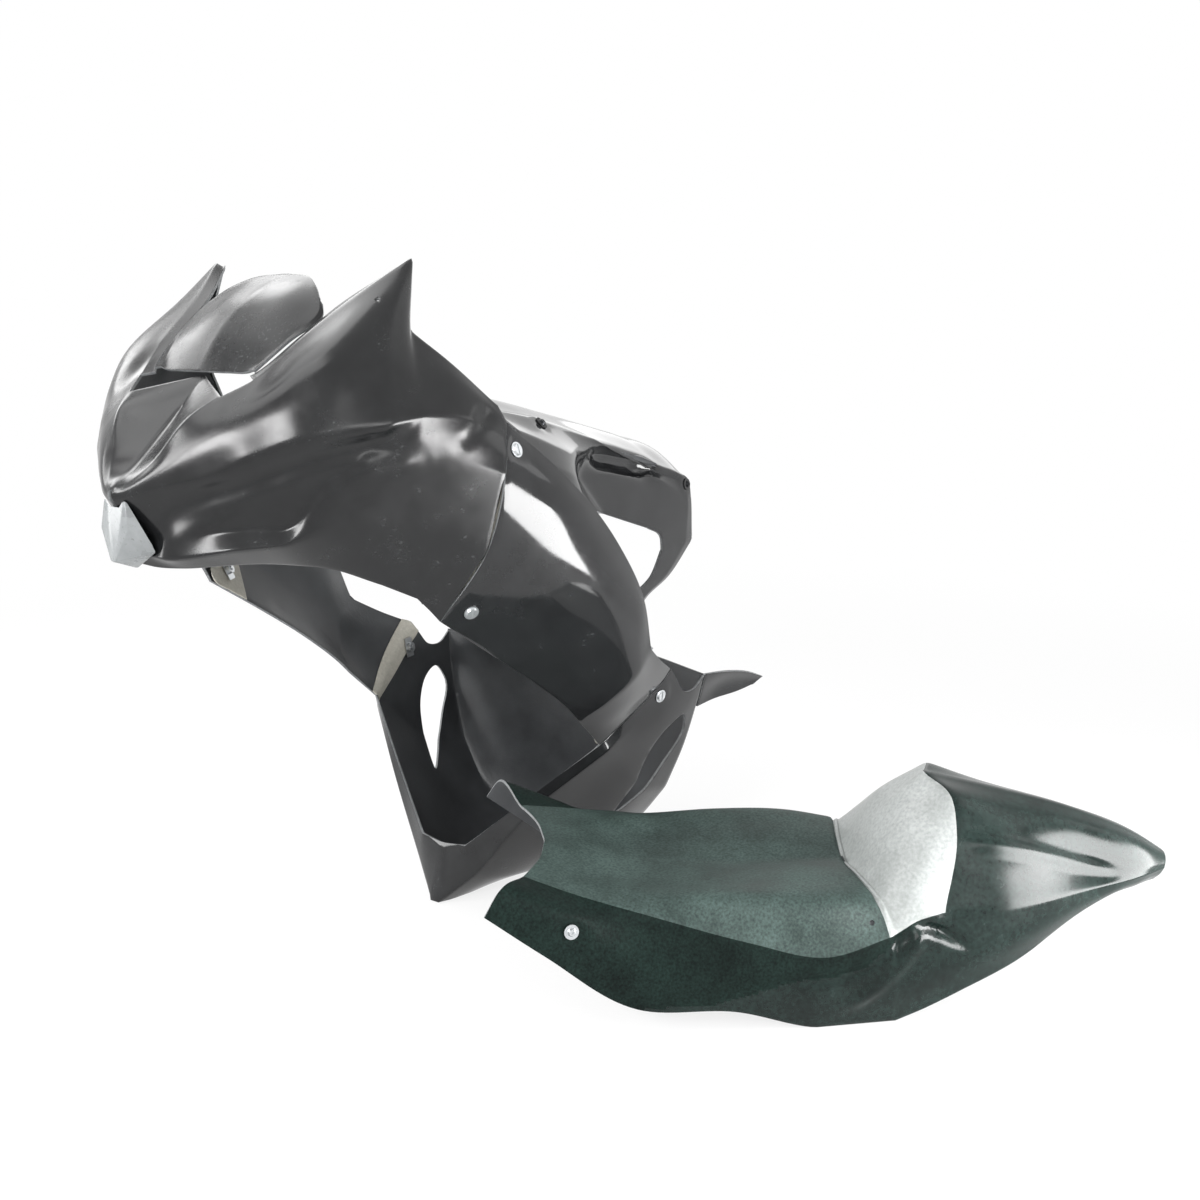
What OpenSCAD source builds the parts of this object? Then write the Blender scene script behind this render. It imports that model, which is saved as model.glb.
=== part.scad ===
// Race bodywork set for a sports motorcycle, in glass-fibre laminate: nose fairing with two horns,
// blank screen, side panels, belly pan, tank cover and seat unit.
// x runs to the rear, y to the rider's right, z up from the floor under the belly pan.

/* [Overall] */
// Length from the nose tip to the joint's top corner on the belly pan
set_length = 657; // [600:1:720]
// Width over the two side panels
set_width = 544; // [490:1:600]
// Height from the floor to the tips of the horns
set_height = 824; // [760:1:890]
// Thickness of the moulded laminate
laminate = 3; // [2.5:0.1:3.5]
// Gap left between neighbouring mouldings
seam = 1; // [0.8:0.1:1.4]

/* [Seat unit] */
// Length of the seat unit from its front wings to its tail
seat_length = 791; // [740:1:840]
// Width of the seat unit over its front wings
seat_width = 312; // [290:1:325]
// Height of the seat hump over the seat unit's lower edge
seat_height = 250; // [230:1:270]
// Turn of the seat unit on the floor, seen from above
seat_yaw = -49.8; // [-52:0.2:-48]
// Roll of the seat unit onto its near edge
seat_roll = 4.1; // [3:0.1:5]
// Pitch of the seat unit
seat_pitch = 5.1; // [4:0.1:6]

/* [Fasteners] */
// Diameter of a quarter-turn stud's head
stud_head_d = 14; // [12:0.5:16]
// Diameter of a quarter-turn stud's shank
stud_d = 6; // [5:0.1:6.5]
// Diameter of the hole that a stud passes through
stud_hole_d = 7; // [6.8:0.1:8]
// Diameter of a button-head screw's head
screw_head_d = 9.5; // [9:0.1:11]
// Diameter of a button-head screw's shank
screw_d = 5; // [4:0.1:5.2]
// Diameter of a screw's clearance hole
screw_hole_d = 5.6; // [5.4:0.1:6]
// Diameter of the washer under a screw's head
washer_d = 16; // [14:0.5:18]
// Thickness of a washer
washer_t = 1.2; // [1:0.1:1.6]
// Diameter of the pad holes in the seat deck
pad_hole_d = 8; // [6:0.5:9]
// Diameter of the stay hole in each horn
horn_hole_d = 5; // [4:0.5:6]

/* [Joints] */
// Thickness of the raw backing strip behind a panel joint
strip_t = 2; // [1.5:0.1:2.5]
// Fit between pieces that seat on each other
fit = 0.3; // [0.2:0.05:0.4]

/* [Hidden] */
gelcoat = "#1c1d1f";
// Facets around heads and cups, and around shanks and holes
head_sides = 32;
hole_sides = 24;
// Joined solids reach this far into each other, and cuts this far past the faces that they open
overlap = 0.1;
past = 1;

// The nets of the bike set are drawn 657 long, 544 wide and 824 high, with x from the nose tip, y as
// the half-width and z from the floor; the belly pan's foot is 560 behind the nose tip
stretch = [set_length / 657, set_width / 544, set_height / 824];
function place(p) = [(p.x - 560) * stretch.x, p.y * stretch.y, p.z * stretch.z];
function placed(net) = [for (row = net) [for (p = row) place(p)]];

// Slope of the smooth curve through p at point i, on the side of the coming (1) or last (-1) span
function slope(p, i, side, sharp) =
    let (n = len(p) - 1, a = i > 0 ? p[i] - p[i - 1] : [], b = i < n ? p[i + 1] - p[i] : [])
    i == 0 ? b : i == n ? a : sharp[i] == 1 ? (side > 0 ? b : a)
    : let (la = norm(a), lb = norm(b)) (side > 0 ? lb : la) * (a / la * lb + b / lb * la) / (la + lb);
function curve_at(p, s, sharp) =
    let (i = min(floor(s), len(p) - 2), t = s - i, m = slope(p, i, 1, sharp), k = slope(p, i + 1, -1, sharp))
    p[i] * (2 * t ^ 3 - 3 * t ^ 2 + 1) + m * (t ^ 3 - 2 * t ^ 2 + t)
    + p[i + 1] * (3 * t ^ 2 - 2 * t ^ 3) + k * (t ^ 3 - t ^ 2);
function refined(p, n, sharp) = [for (k = [0:n * (len(p) - 1)]) curve_at(p, k / n, sharp)];
function turned(grid) = [for (j = [0:len(grid[0]) - 1]) [for (row = grid) row[j]]];

// A finer grid of points on the surface through a net of control points
function skin(net, n_rows, n_cols, sharp_rows, sharp_cols) =
    let (wide = [for (row = net) refined(row, n_cols, sharp_cols)])
    turned([for (c = turned(wide)) refined(c, n_rows, sharp_rows)]);
function other_side(row) = [for (j = [len(row) - 1:-1:0]) [row[j].x, -row[j].y, row[j].z]];
function over_top(grid) = [for (row = grid) concat(other_side(row), row)];
function under_keel(grid) = [for (row = grid) concat(row, other_side(row))];

// The point of the smooth surface through a net, s ribs and t columns along
function skin_at(net, s, t, sharp_rows, sharp_cols) =
    curve_at([for (row = net) curve_at(row, t, sharp_cols)], s, sharp_rows);

function unit(v) = v / max(norm(v), 1e-6);
function normal_at(g, i, j) =
    let (m = len(g) - 1, n = len(g[0]) - 1)
    unit(cross(g[min(i + 1, m)][j] - g[max(i - 1, 0)][j], g[i][min(j + 1, n)] - g[i][max(j - 1, 0)]));
function sunk(g, t) =
    [for (i = [0:len(g) - 1]) [for (j = [0:len(g[0]) - 1]) g[i][j] - t * normal_at(g, i, j)]];

// A laminate of thickness t whose outer face is the grid; cells for which keep is false are left open.
// Where mirrored is true the cells are split along the other diagonal, as in a mirror. Where zipped is
// true the two halves of the last row are the sides of one gap, which is closed with the same laminate.
module moulding(grid, t = laminate, keep = function(i, j) true,
        mirrored = function(j) false, zipped = false) {
    inner = sunk(grid, t);
    m = len(grid) - 1;
    n = len(grid[0]) - 1;
    count = (m + 1) * (n + 1);
    at = function(i, j) i * (n + 1) + j;
    open = function(i, j) i < 0 || j < 0 || i >= m || j >= n || !keep(i, j);
    rim = function(p, q) [[q, p, p + count], [q, p + count, q + count]];
    both_faces = function(a, b, c, d, other) let (k = count) other
        ? [[a, d, b], [d, c, b], [a + k, b + k, d + k], [d + k, b + k, c + k]]
        : [[a, d, c], [a, c, b], [a + k, b + k, c + k], [a + k, c + k, d + k]];
    cells = [for (i = [0:m - 1]) for (j = [0:n - 1]) if (!open(i, j))
        let (a = at(i, j), b = at(i + 1, j), c = at(i + 1, j + 1), d = at(i, j + 1))
        each concat(
            both_faces(a, b, c, d, mirrored(j)),
            open(i - 1, j) ? rim(a, d) : [],
            open(i, j + 1) ? rim(d, c) : [],
            open(i + 1, j) && !zipped ? rim(c, b) : [],
            open(i, j - 1) ? rim(b, a) : []
        )];
    closing = zipped ? [for (j = [0:(n - 1) / 2 - 1]) each concat(
        both_faces(at(m, j), at(m, n - j), at(m, n - j - 1), at(m, j + 1), false),
        j == 0 ? rim(at(m, n), at(m, 0)) : []
    )] : [];
    points = [for (face = [grid, inner]) for (row = face) each row];
    polyhedron(points = points, faces = concat(cells, closing));
}

// The flat facet of a grid at s rows and t columns: a point on it and its outward normal
function facet_at(g, s, t) =
    let (i = floor(s), j = floor(t), u = s - i, v = t - j,
        a = g[i][j], b = g[i + 1][j], c = g[i + 1][j + 1], d = g[i][j + 1])
    u > v ? [a + (u - v) * (b - a) + v * (c - a), unit(cross(b - a, c - a))]
    : [a + (v - u) * (d - a) + u * (c - a), unit(cross(c - a, d - a))];

// Puts its children on a facet, with z along the outward normal
module on_facet(g, s, t, up = 0) {
    f = facet_at(g, s, t);
    translate(f[0]) rotate([0, acos(f[1].z), atan2(f[1].y, f[1].x)]) translate([0, 0, up]) children();
}
// Flat heads and feet stand this far off the curved faces that they bear on
lift = 0.4;

// A hole right through a laminate, drilled along its facet's normal
drill_reach = 12;
module drill(d) translate([0, 0, -drill_reach]) cylinder(d = d, h = 2 * drill_reach, $fn = hole_sides);

// The right side's piece and its mirror image
module both() {
    children();
    mirror([0, 1, 0]) children();
}

// Everything below the floor, for the mouldings that stand on it
module below_floor()
    translate([0, 0, -set_height / 2]) cube([4 * set_length, 4 * set_width, set_height], center = true);

// Ribs of the nose fairing's right half, each from the centre of the bridge or the screen flange,
// over the crest, down the flank and its two ridges to the wheel arch
joint_rib = [[318, 214, 662], [323, 226, 668], [325, 236, 650], [316, 243, 634], [310, 248, 618],
    [304, 251, 598], [292, 234, 515], [263, 191, 438]];
upper_net = placed([
    [[-1, 2, 594], [-3, 3, 591], [-3, 3, 588], [-2, 3, 584], [6, 3, 572], [22, 3, 548],
        [24, 3, 528], [28, 3, 516]],
    [[1, 4, 597], [2, 10, 596], [1, 14, 592], [2, 16, 587], [12, 18, 572], [26, 20, 546],
        [24, 20, 527], [32, 20, 514]],
    [[24, 4, 612], [22, 29, 617], [15, 38, 607], [18, 44, 596], [34, 51, 577], [36, 42, 543],
        [24, 42, 525], [46, 44, 513]],
    [[62, 5, 645], [54, 58, 667], [48, 80, 642], [55, 100, 614], [64, 97, 586], [62, 72, 549],
        [46, 81, 530], [77, 77, 515]],
    [[118, 4, 701], [80, 74, 684], [66, 98, 660], [66, 116, 624], [76, 114, 592], [76, 88, 551],
        [58, 100, 534], [95, 90, 515]],
    [[116, 76, 703], [108, 90, 700], [84, 116, 672], [83, 135, 634], [90, 126, 593],
        [90, 102, 552], [75, 116, 536], [110, 100, 514]],
    [[166, 98, 742], [158, 107, 740], [115, 142, 700], [103, 160, 645], [106, 143, 594],
        [115, 128, 552], [97, 137, 539], [132, 117, 511]],
    [[214, 109, 775], [205, 121, 774], [150, 170, 722], [139, 188, 651], [135, 168, 606],
        [134, 154, 579], [121, 155, 548], [154, 134, 507]],
    [[276, 146, 818], [273, 157, 824], [205, 182, 745], [178, 212, 657], [170, 196, 630],
        [167, 190, 614], [159, 176, 553], [203, 165, 485]],
    [[258, 157, 746], [250, 170, 748], [232, 195, 712], [215, 222, 665], [208, 218, 642],
        [212, 215, 624], [208, 198, 552], [240, 180, 466]],
    [[276, 184, 712], [278, 198, 716], [272, 215, 695], [262, 232, 660], [258, 233, 640],
        [256, 232, 612], [250, 217, 540], [252, 186, 452]],
    joint_rib
]);
upper_sharp = [0, 1, 0, 1, 0, 1, 1, 0];
upper_rows = 2;
upper_cols = 2;
upper_half = skin(upper_net, upper_rows, upper_cols, [0, 0, 0, 0, 0, 0, 0, 0, 1, 1, 0, 0], upper_sharp);
bridge_rows = 4 * upper_rows;
flange_row = 5 * upper_rows;
horn_hole = [15.2, 2.8];

module upper_fairing() {
    middle = len(upper_half[0]) - 1;
    inner_cols = upper_cols;
    color(gelcoat)
    difference() {
        moulding(over_top(upper_half), mirrored = function(j) j < middle, keep = function(i, j)
            let (from_middle = j >= middle + 1 ? j - middle - 1 : middle - 1 - j)
            i < bridge_rows || (j != middle && (i >= flange_row || from_middle >= inner_cols)));
        both() on_facet(upper_half, horn_hole.x, horn_hole.y) drill(horn_hole_d);
    }
}

// Ribs of the screen blank's right half, from its bottom edge up to its rounded top,
// each from the middle out to the rolled flange
screen_net = placed([
    [[116, 4, 706], [118, 40, 706], [121, 66, 707], [122, 73, 709], [119, 78, 708]],
    [[142, 4, 742], [146, 45, 741], [154, 80, 739], [157, 87, 739], [156, 91, 738]],
    [[186, 4, 780], [190, 48, 778], [194, 86, 769], [195, 95, 767], [196, 100, 765]],
    [[238, 4, 806], [230, 45, 802], [213, 74, 788], [206, 84, 780], [203, 91, 775]]
]);
screen_half = skin(screen_net, 3, 2, [0, 0, 0, 0], [0, 0, 0, 1, 0]);

module windscreen() {
    middle = len(screen_half[0]) - 1;
    color(gelcoat) moulding(over_top(screen_half), mirrored = function(j) j < middle);
}

// Corners of the faceted chin under the nose tip, with their rounding
snout_corners = [[2, 16, 583], [0, 20, 555], [-4, 3, 524], [22, 3, 514], [22, 36, 534], [20, 26, 570]];
snout_round = 1.5;

module nose_snout() {
    color(gelcoat)
    difference() {
        hull() {
            for (p = snout_corners, side = [-1, 1])
                translate(place([p.x, side * p.y, p.z])) sphere(r = snout_round, $fn = 8);
        }
        hull() {
            for (rib = [0:2], p = upper_net[rib], side = [-1, 1])
                translate([p.x, side * p.y, p.z]) sphere(r = fit, $fn = 6);
        }
    }
}

side_rib_end = [[657, 232, 309], [650, 231, 303], [643, 230, 297], [634, 228, 290], [590, 215, 260],
    [546, 198, 228]];
side_net = placed([
    [for (j = [2:7]) joint_rib[j] + seam * [1, 0, -0.5]],
    [[410, 255, 583], [405, 262, 566], [402, 266, 550], [396, 268, 528], [372, 252, 455], [340, 190, 389]],
    [[490, 266, 500], [484, 270, 485], [478, 273, 470], [470, 274, 452], [448, 250, 385], [427, 196, 331]],
    [[541, 268, 425], [536, 270, 415], [530, 271, 404], [522, 270, 388], [498, 240, 322], [484, 200, 286]],
    [[566, 262, 358], [560, 262, 352], [553, 262, 345], [544, 261, 335], [515, 234, 297], [500, 200, 270]],
    [[612, 247, 331], [604, 246, 325], [596, 245, 318], [586, 243, 309], [550, 225, 275], [523, 199, 249]],
    side_rib_end
]);
side_half = skin(side_net, 3, 2, [0, 0, 0, 0, 1, 0, 0], [0, 0, 0, 0, 0, 0]);
upper_studs = [[0.4, 2.4], [0.9, 9.4]];

module side_panel() {
    difference() {
        moulding(side_half);
        for (at = upper_studs) on_facet(side_half, at.x, at.y) drill(stud_hole_d);
    }
}
module side_panel_right() color(gelcoat) side_panel();
module side_panel_left() color(gelcoat) mirror([0, 1, 0]) side_panel();

// Ribs of the belly pan's right half: the joint and the rim of the V, the fold round its chin, the
// side wall, and the rear bulkhead; each runs from the top edge down to the keel
seam_step = [0.6, 0, -0.8] * seam;
keel_cut = 0.8;
belly_net = placed([
    concat([for (j = [0, 3, 4, 5]) side_rib_end[j] + seam_step], [[506, 118, 155], [467, 38, 81], [465, 4, 78]]),
    [[672, 231, 292], [646, 227, 272], [600, 214, 243], [553, 204, 218], [503, 122, 137],
        [473, 52, 44], [447, 7, 1]],
    [[690, 230, 272], [664, 226, 252], [622, 214, 228], [578, 200, 200], [535, 126, 116],
        [500, 56, 32], [480, 15, -keel_cut]],
    [[715, 230, 268], [700, 224, 235], [680, 210, 195], [650, 190, 140], [620, 140, 75],
        [590, 66, 16], [570, 16, -keel_cut]],
    [[742, 232, 284], [736, 222, 235], [730, 208, 180], [722, 186, 120], [712, 140, 62],
        [704, 66, 14], [700, 16, -keel_cut]],
    [[748, 120, 300], [744, 110, 235], [740, 100, 180], [736, 90, 120], [732, 70, 62],
        [730, 34, 16], [728, 9, 6]],
    [[750, 4, 310], [748, 4, 235], [744, 4, 180], [740, 4, 120], [736, 4, 62], [734, 4, 22], [732, 3, 10]]
]);
belly_half = skin(belly_net, 2, 2, [0, 1, 0, 0, 1, 0, 0], [0, 0, 0, 1, 0, 1, 0]);
belly_stud = [1.4, 2.1];

// The teardrop vent in each side wall, as a closed curve of x and z
vent = [[702, 0, 236], [672, 0, 226], [646, 0, 196], [634, 0, 150], [627, 0, 104], [654, 0, 124],
    [688, 0, 168], [714, 0, 212]];
vent_ring = placed([[for (k = [0:len(vent) + 2]) vent[k % len(vent)]]])[0];
vent_sides = 3;
vent_outline = [for (k = [1:1 / vent_sides:len(vent) + 1 - 1 / vent_sides])
    let (p = curve_at(vent_ring, k, [for (q = vent_ring) 0])) [p.x, p.z]];

module belly_pan() {
    half = len(belly_half[0]);
    color(gelcoat)
    difference() {
        moulding(under_keel(belly_half), mirrored = function(j) j >= half, zipped = true);
        rotate([90, 0, 0]) linear_extrude(height = set_width, center = true) polygon(vent_outline);
        both() on_facet(belly_half, belly_stud.x, belly_stud.y) drill(stud_hole_d);
        below_floor();
    }
}

// Ribs of the flare behind each belly wall, from the seam to its rear tip, top edge first
flare_net = placed([
    [[742.6, 232, 284], [740, 228, 262], [737.6, 222.6, 238]],
    [[790, 236, 278], [788, 225, 258], [776, 224, 240]],
    [[845, 238, 266], [845, 230, 252], [835, 230, 240]],
    [[893, 236, 249], [886, 234, 246], [872, 234, 243]]
]);
flare_half = skin(flare_net, 2, 2, [0, 0, 0, 0], [0, 0, 0]);
module belly_flare_right() color(gelcoat) moulding(flare_half);
module belly_flare_left() color(gelcoat) mirror([0, 1, 0]) moulding(flare_half);

// The raw backing strips behind the joints: they bridge the seam under the inner faces of both panels
strip_gap = 0.5;
under_laminate = laminate + strip_gap;
seam_depth = 2.8;
upper_inside = sunk(upper_half, under_laminate + seam_depth);
side_seam_inside = sunk(side_half, under_laminate + seam_depth);
side_inside = sunk(side_half, under_laminate);
belly_inside = sunk(belly_half, under_laminate);
function pick(row, cols) = [for (j = cols) row[j]];
strip_cols = [2 * upper_cols:7 * upper_cols];
upper_strip = [
    pick(upper_inside[len(upper_inside) - 2], strip_cols),
    side_seam_inside[0],
    side_inside[1],
    side_inside[2]
];
side_end = len(side_inside) - 1;
side_cols = [0, 3, 6, 7, 8, 9, 10];
belly_cols = [0:6];
belly_strip_reach = 0.8;
belly_strip = [
    pick(side_inside[side_end - 1], side_cols),
    pick(side_inside[side_end], side_cols),
    pick(belly_inside[0], belly_cols),
    pick(belly_inside[1], belly_cols),
    [for (j = belly_cols)
        belly_inside[1][j] + belly_strip_reach * (belly_inside[2][j] - belly_inside[1][j])]
];
strip_colour = "#8f8a6a";
module upper_joint_strip() {
    difference() {
        moulding(upper_strip, t = strip_t);
        for (at = upper_studs) on_facet(side_half, at.x, at.y) drill(stud_hole_d);
    }
}
module belly_joint_strip() {
    difference() {
        moulding(belly_strip, t = strip_t);
        on_facet(belly_half, belly_stud.x, belly_stud.y) drill(stud_hole_d);
    }
}
module upper_joint_strip_right() color(strip_colour) upper_joint_strip();
module upper_joint_strip_left() color(strip_colour) mirror([0, 1, 0]) upper_joint_strip();
module belly_joint_strip_right() color(strip_colour) belly_joint_strip();
module belly_joint_strip_left() color(strip_colour) mirror([0, 1, 0]) belly_joint_strip();

// How much narrower the top of a head is than its foot
head_taper = 3;
module head(d, h) cylinder(d1 = d, d2 = d - head_taper, h = h, $fn = head_sides);
module ring(d, hole_d, h) {
    difference() {
        cylinder(d = d, h = h, $fn = head_sides);
        translate([0, 0, -past]) cylinder(d = hole_d, h = h + 2 * past, $fn = hole_sides);
    }
}

// A quarter-turn stud: slotted head on its washer, shank through panel and strip, and below the
// receptacle the bore of its cross pin
zinc = "#b9bcbe";
stud_head_h = 2.4;
stud_washer_rim = 1.5;
stud_washer_t = 0.8;
slot_w = 1.6;
slot_depth = 1;
cross_pin_d = 2;
stud_end = 2;
cup_d = 14;
cup_h = 5;
cup_t = 1;
plate = [28, 16, 1];
plate_top = under_laminate + strip_t + 4 * lift;
module stud() {
    pin_at = plate_top + plate.z + cup_h;
    top = stud_washer_t + stud_head_h;
    difference() {
        union() {
            translate([0, 0, stud_washer_t]) head(stud_head_d, stud_head_h);
            translate([0, 0, -pin_at - stud_end])
                cylinder(d = stud_d, h = pin_at + stud_end + stud_washer_t + overlap, $fn = hole_sides);
        }
        translate([-stud_head_d / 2, -slot_w / 2, top - slot_depth]) cube([stud_head_d, slot_w, slot_depth + past]);
        translate([0, 0, -pin_at]) rotate([90, 0, 0])
            cylinder(d = cross_pin_d, h = 2 * stud_d, center = true, $fn = hole_sides);
    }
}
module stud_washer() ring(stud_head_d + 2 * stud_washer_rim, stud_hole_d, stud_washer_t);

// The receptacle behind the strip: a plate with a sprung cup that the stud turns into
module receptacle(drop = 0) {
    foot = -plate_top - drop - plate.z - cup_h;
    difference() {
        union() {
            translate([-plate.x / 2, -plate.y / 2, foot + cup_h]) cube(plate);
            translate([0, 0, foot]) cylinder(d = cup_d, h = cup_h + plate.z / 2, $fn = head_sides);
        }
        translate([0, 0, foot + cup_t]) cylinder(d = cup_d - 2 * cup_t, h = cup_h + plate.z, $fn = head_sides);
        translate([0, 0, foot - past]) cylinder(d = stud_hole_d, h = cup_t + 2 * past, $fn = hole_sides);
    }
}
module at_upper_joint() both() for (at = upper_studs) on_facet(side_half, at.x, at.y, lift) children();
module at_belly_joint() both() on_facet(belly_half, belly_stud.x, belly_stud.y, lift) children();
module upper_joint_studs() color(zinc) at_upper_joint() stud();
module upper_joint_washers() color(zinc) at_upper_joint() stud_washer();
module upper_joint_receptacles() color(zinc) both() for (at = upper_studs)
    on_facet(side_half, at.x, at.y, lift) receptacle(seam_depth * (1 - at.x));
module belly_joint_studs() color(zinc) at_belly_joint() stud();
module belly_joint_washers() color(zinc) at_belly_joint() stud_washer();
module belly_joint_receptacles() color(zinc) at_belly_joint() receptacle();

// Ribs of the tank cover's right half, from the shoulder tucked into the side panel, over the deck,
// round the rear corner and back along the lower arm; each runs from the middle of the deck, over
// its edge and the recess with its shelf, to the large round cut-out
cover_net = placed([
    [[340, 4, 682], [342, 110, 678], [350, 190, 662], [358, 222, 640], [368, 232, 612], [382, 236, 580]],
    [[450, 4, 668], [452, 100, 664], [462, 172, 642], [472, 205, 606], [480, 214, 575], [492, 216, 540]],
    [[600, 4, 640], [600, 90, 632], [601, 150, 607], [578, 154, 588], [548, 160, 566], [606, 158, 513]],
    [[742, 4, 606], [742, 90, 597], [742, 150, 562], [738, 142, 556], [734, 152, 549], [714, 156, 480]],
    [[842, 4, 572], [838, 90, 562], [822, 150, 530], [814, 152, 518], [802, 153, 505], [748, 155, 462]],
    [[862, 4, 480], [855, 90, 470], [839, 148, 448], [815, 152, 447], [785, 153, 447], [752, 154, 446]],
    [[800, 110, 420], [790, 130, 412], [780, 148, 405], [765, 152, 407], [748, 153, 409], [726, 154, 412]],
    [[735, 110, 390], [730, 130, 386], [721, 148, 381], [712, 152, 384], [702, 153, 388], [690, 154, 393]],
    [[640, 150, 352], [640, 170, 349], [640, 190, 345], [638, 192, 350], [636, 194, 357], [633, 196, 366]]
]);
cover_half = skin(cover_net, 2, 2, [0, 0, 1, 1, 0, 1, 0, 0, 0], [0, 0, 1, 1, 1, 0]);
cover_deck_rows = 5 * 2;
cover_deck_cols = 2 * 2;
cover_screws_at = [[1.9, 4.3], [7.9, 4.6]];

module tank_cover() {
    middle = len(cover_half[0]) - 1;
    color(gelcoat)
    difference() {
        moulding(over_top(cover_half), mirrored = function(j) j < middle, keep = function(i, j)
            let (from_middle = j >= middle + 1 ? j - middle - 1 : middle - 1 - j)
            i < cover_deck_rows || (j != middle && from_middle >= cover_deck_cols));
        both() for (at = cover_screws_at) on_facet(cover_half, at.x, at.y) drill(screw_hole_d);
    }
}

// A button-head screw with a hexagon socket, its washer, and the nut behind the laminate
screw_head_h = 2.8;
socket_d = 3;
socket_depth = 1.5;
screw_l = 16;
nut_d = 9;
nut_h = 4;
nut_top = laminate + 4 * lift;
thread_fit = 0.05;
module button_screw() {
    difference() {
        union() {
            translate([0, 0, washer_t]) head(screw_head_d, screw_head_h);
            translate([0, 0, washer_t - screw_l]) cylinder(d = screw_d, h = screw_l + overlap, $fn = hole_sides);
        }
        translate([0, 0, washer_t + screw_head_h - socket_depth])
            cylinder(d = socket_d, h = socket_depth + past, $fn = 6);
    }
}
module washer() ring(washer_d, screw_hole_d, washer_t);
module nut() {
    translate([0, 0, -nut_top - nut_h])
    difference() {
        cylinder(d = nut_d, h = nut_h, $fn = 6);
        translate([0, 0, -past]) cylinder(d = screw_d + 2 * thread_fit, h = nut_h + 2 * past, $fn = hole_sides);
    }
}
module at_cover() both() for (at = cover_screws_at) on_facet(cover_half, at.x, at.y, lift) children();
module cover_screws() color("#3a3b3d") at_cover() button_screw();
module cover_washers() color("#26272a") at_cover() washer();
module cover_nuts() color(zinc) at_cover() nut();

// The hidden strap that carries the cover's shoulder, bent from sheet: a foot on the inside of the
// side panel, a web, and a foot against the outside of the cover
strap_t = 2;
strap_w = 20;
strap_foot = 16;
strap_lift = 1;
strap_on_panel = facet_at(side_half, 2.5, 5.2);
strap_on_cover = facet_at(cover_half, 0.5, 9.0);
function strap_row(facet, up, along) =
    let (n = facet[1], level = unit([-n.y, n.x, 0]), rise = unit(cross(n, level)))
    [for (side = [1, -1]) facet[0] + up * n + along * rise + side * strap_w / 2 * level];
strap_sheet = [
    for (end = [-1, 1]) strap_row(strap_on_panel, -laminate - strap_lift, end * strap_foot / 2),
    for (end = [-1, 1]) strap_row(strap_on_cover, strap_t + strap_lift, end * strap_foot / 2)
];
module cover_strap() moulding(strap_sheet, t = strap_t);
module cover_strap_right() color(zinc) cover_strap();
module cover_strap_left() color(zinc) mirror([0, 1, 0]) cover_strap();

// The seat unit's net is drawn 942 long, 372 wide and 298 high, from its front wings
seat_stretch = [seat_length / 942, seat_width / 372, seat_height / 298];
function in_seat(p) = [p.x * seat_stretch.x, p.y * seat_stretch.y, p.z * seat_stretch.z];

// Ribs of the seat unit's right half, from the front wings over the deck, down the step behind the pad,
// up the backrest and along the hump to the tail tip; each runs from the middle over the deck or the
// hump's shoulder, round the rolled edge and down the side wall to the lower edge
seat_net = [for (row = [
    [[75, 4, 168], [66, 60, 168], [56, 86, 168], [45, 110, 167], [12, 176, 176], [-3, 186, 146]],
    [[130, 4, 158], [125, 70, 158], [120, 102, 158], [114, 134, 157], [92, 176, 150], [74, 186, 98]],
    [[215, 4, 148], [212, 76, 152], [210, 125, 157], [206, 157, 146], [206, 174, 88], [202, 172, 20]],
    [[330, 4, 150], [330, 84, 164], [332, 142, 167], [335, 172, 122], [331, 176, 78], [329, 170, 22]],
    [[430, 4, 160], [432, 84, 174], [434, 144, 171], [438, 174, 108], [440, 174, 60], [440, 162, 0]],
    [[490, 4, 166], [495, 70, 176], [506, 128, 170], [519, 162, 136], [530, 166, 78], [540, 152, 6]],
    [[496, 4, 160], [501, 69, 170], [512, 126, 168], [527, 158, 138], [538, 164, 80], [548, 151, 10]],
    [[536, 4, 246], [545, 63, 246], [554, 112, 215], [554, 151, 154], [574, 158, 92], [584, 146, 26]],
    [[582, 4, 302], [604, 58, 293], [608, 92, 251], [590, 140, 162], [612, 150, 110], [620, 140, 44]],
    [[685, 4, 285], [676, 46, 276], [675, 90, 240], [684, 132, 172], [692, 136, 128], [700, 122, 84]],
    [[800, 4, 262], [796, 36, 252], [798, 64, 206], [804, 88, 182], [808, 86, 164], [810, 78, 147]],
    [[905, 4, 226], [905, 26, 221], [903, 43, 201], [901, 48, 189], [897, 45, 179], [890, 40, 169]],
    [[942, 4, 206], [941, 12, 204], [939, 20, 198], [937, 24, 190], [934, 22, 180], [928, 18, 170]]
]) [for (p = row) in_seat(p)]];
seat_half = skin(seat_net, 2, 2, [0, 0, 0, 0, 0, 1, 1, 0, 1, 0, 0, 0, 0], [0, 0, 0, 1, 0, 0]);
seat_at = [-247, -196, 42.2];
seat_screw_at = [2.3, 8.4];
pad_hole_at = [9.5, 5.1];
seat_lift = 2.6 * lift;

module seat_place() translate(seat_at) rotate([seat_roll, seat_pitch, seat_yaw]) children();

module seat_unit() {
    middle = len(seat_half[0]) - 1;
    color("#16211d")
    difference() {
        seat_place() difference() {
            moulding(over_top(seat_half), mirrored = function(j) j < middle);
            both() {
                on_facet(seat_half, pad_hole_at.x, pad_hole_at.y) drill(pad_hole_d);
                on_facet(seat_half, seat_screw_at.x, seat_screw_at.y) drill(screw_hole_d);
            }
        }
        below_floor();
    }
}
module at_seat()
    seat_place() both() on_facet(seat_half, seat_screw_at.x, seat_screw_at.y, seat_lift) children();
module seat_screws() color(zinc) at_seat() button_screw();
module seat_washers() color(zinc) at_seat() washer();
module seat_nuts() color(zinc) at_seat() nut();

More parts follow.
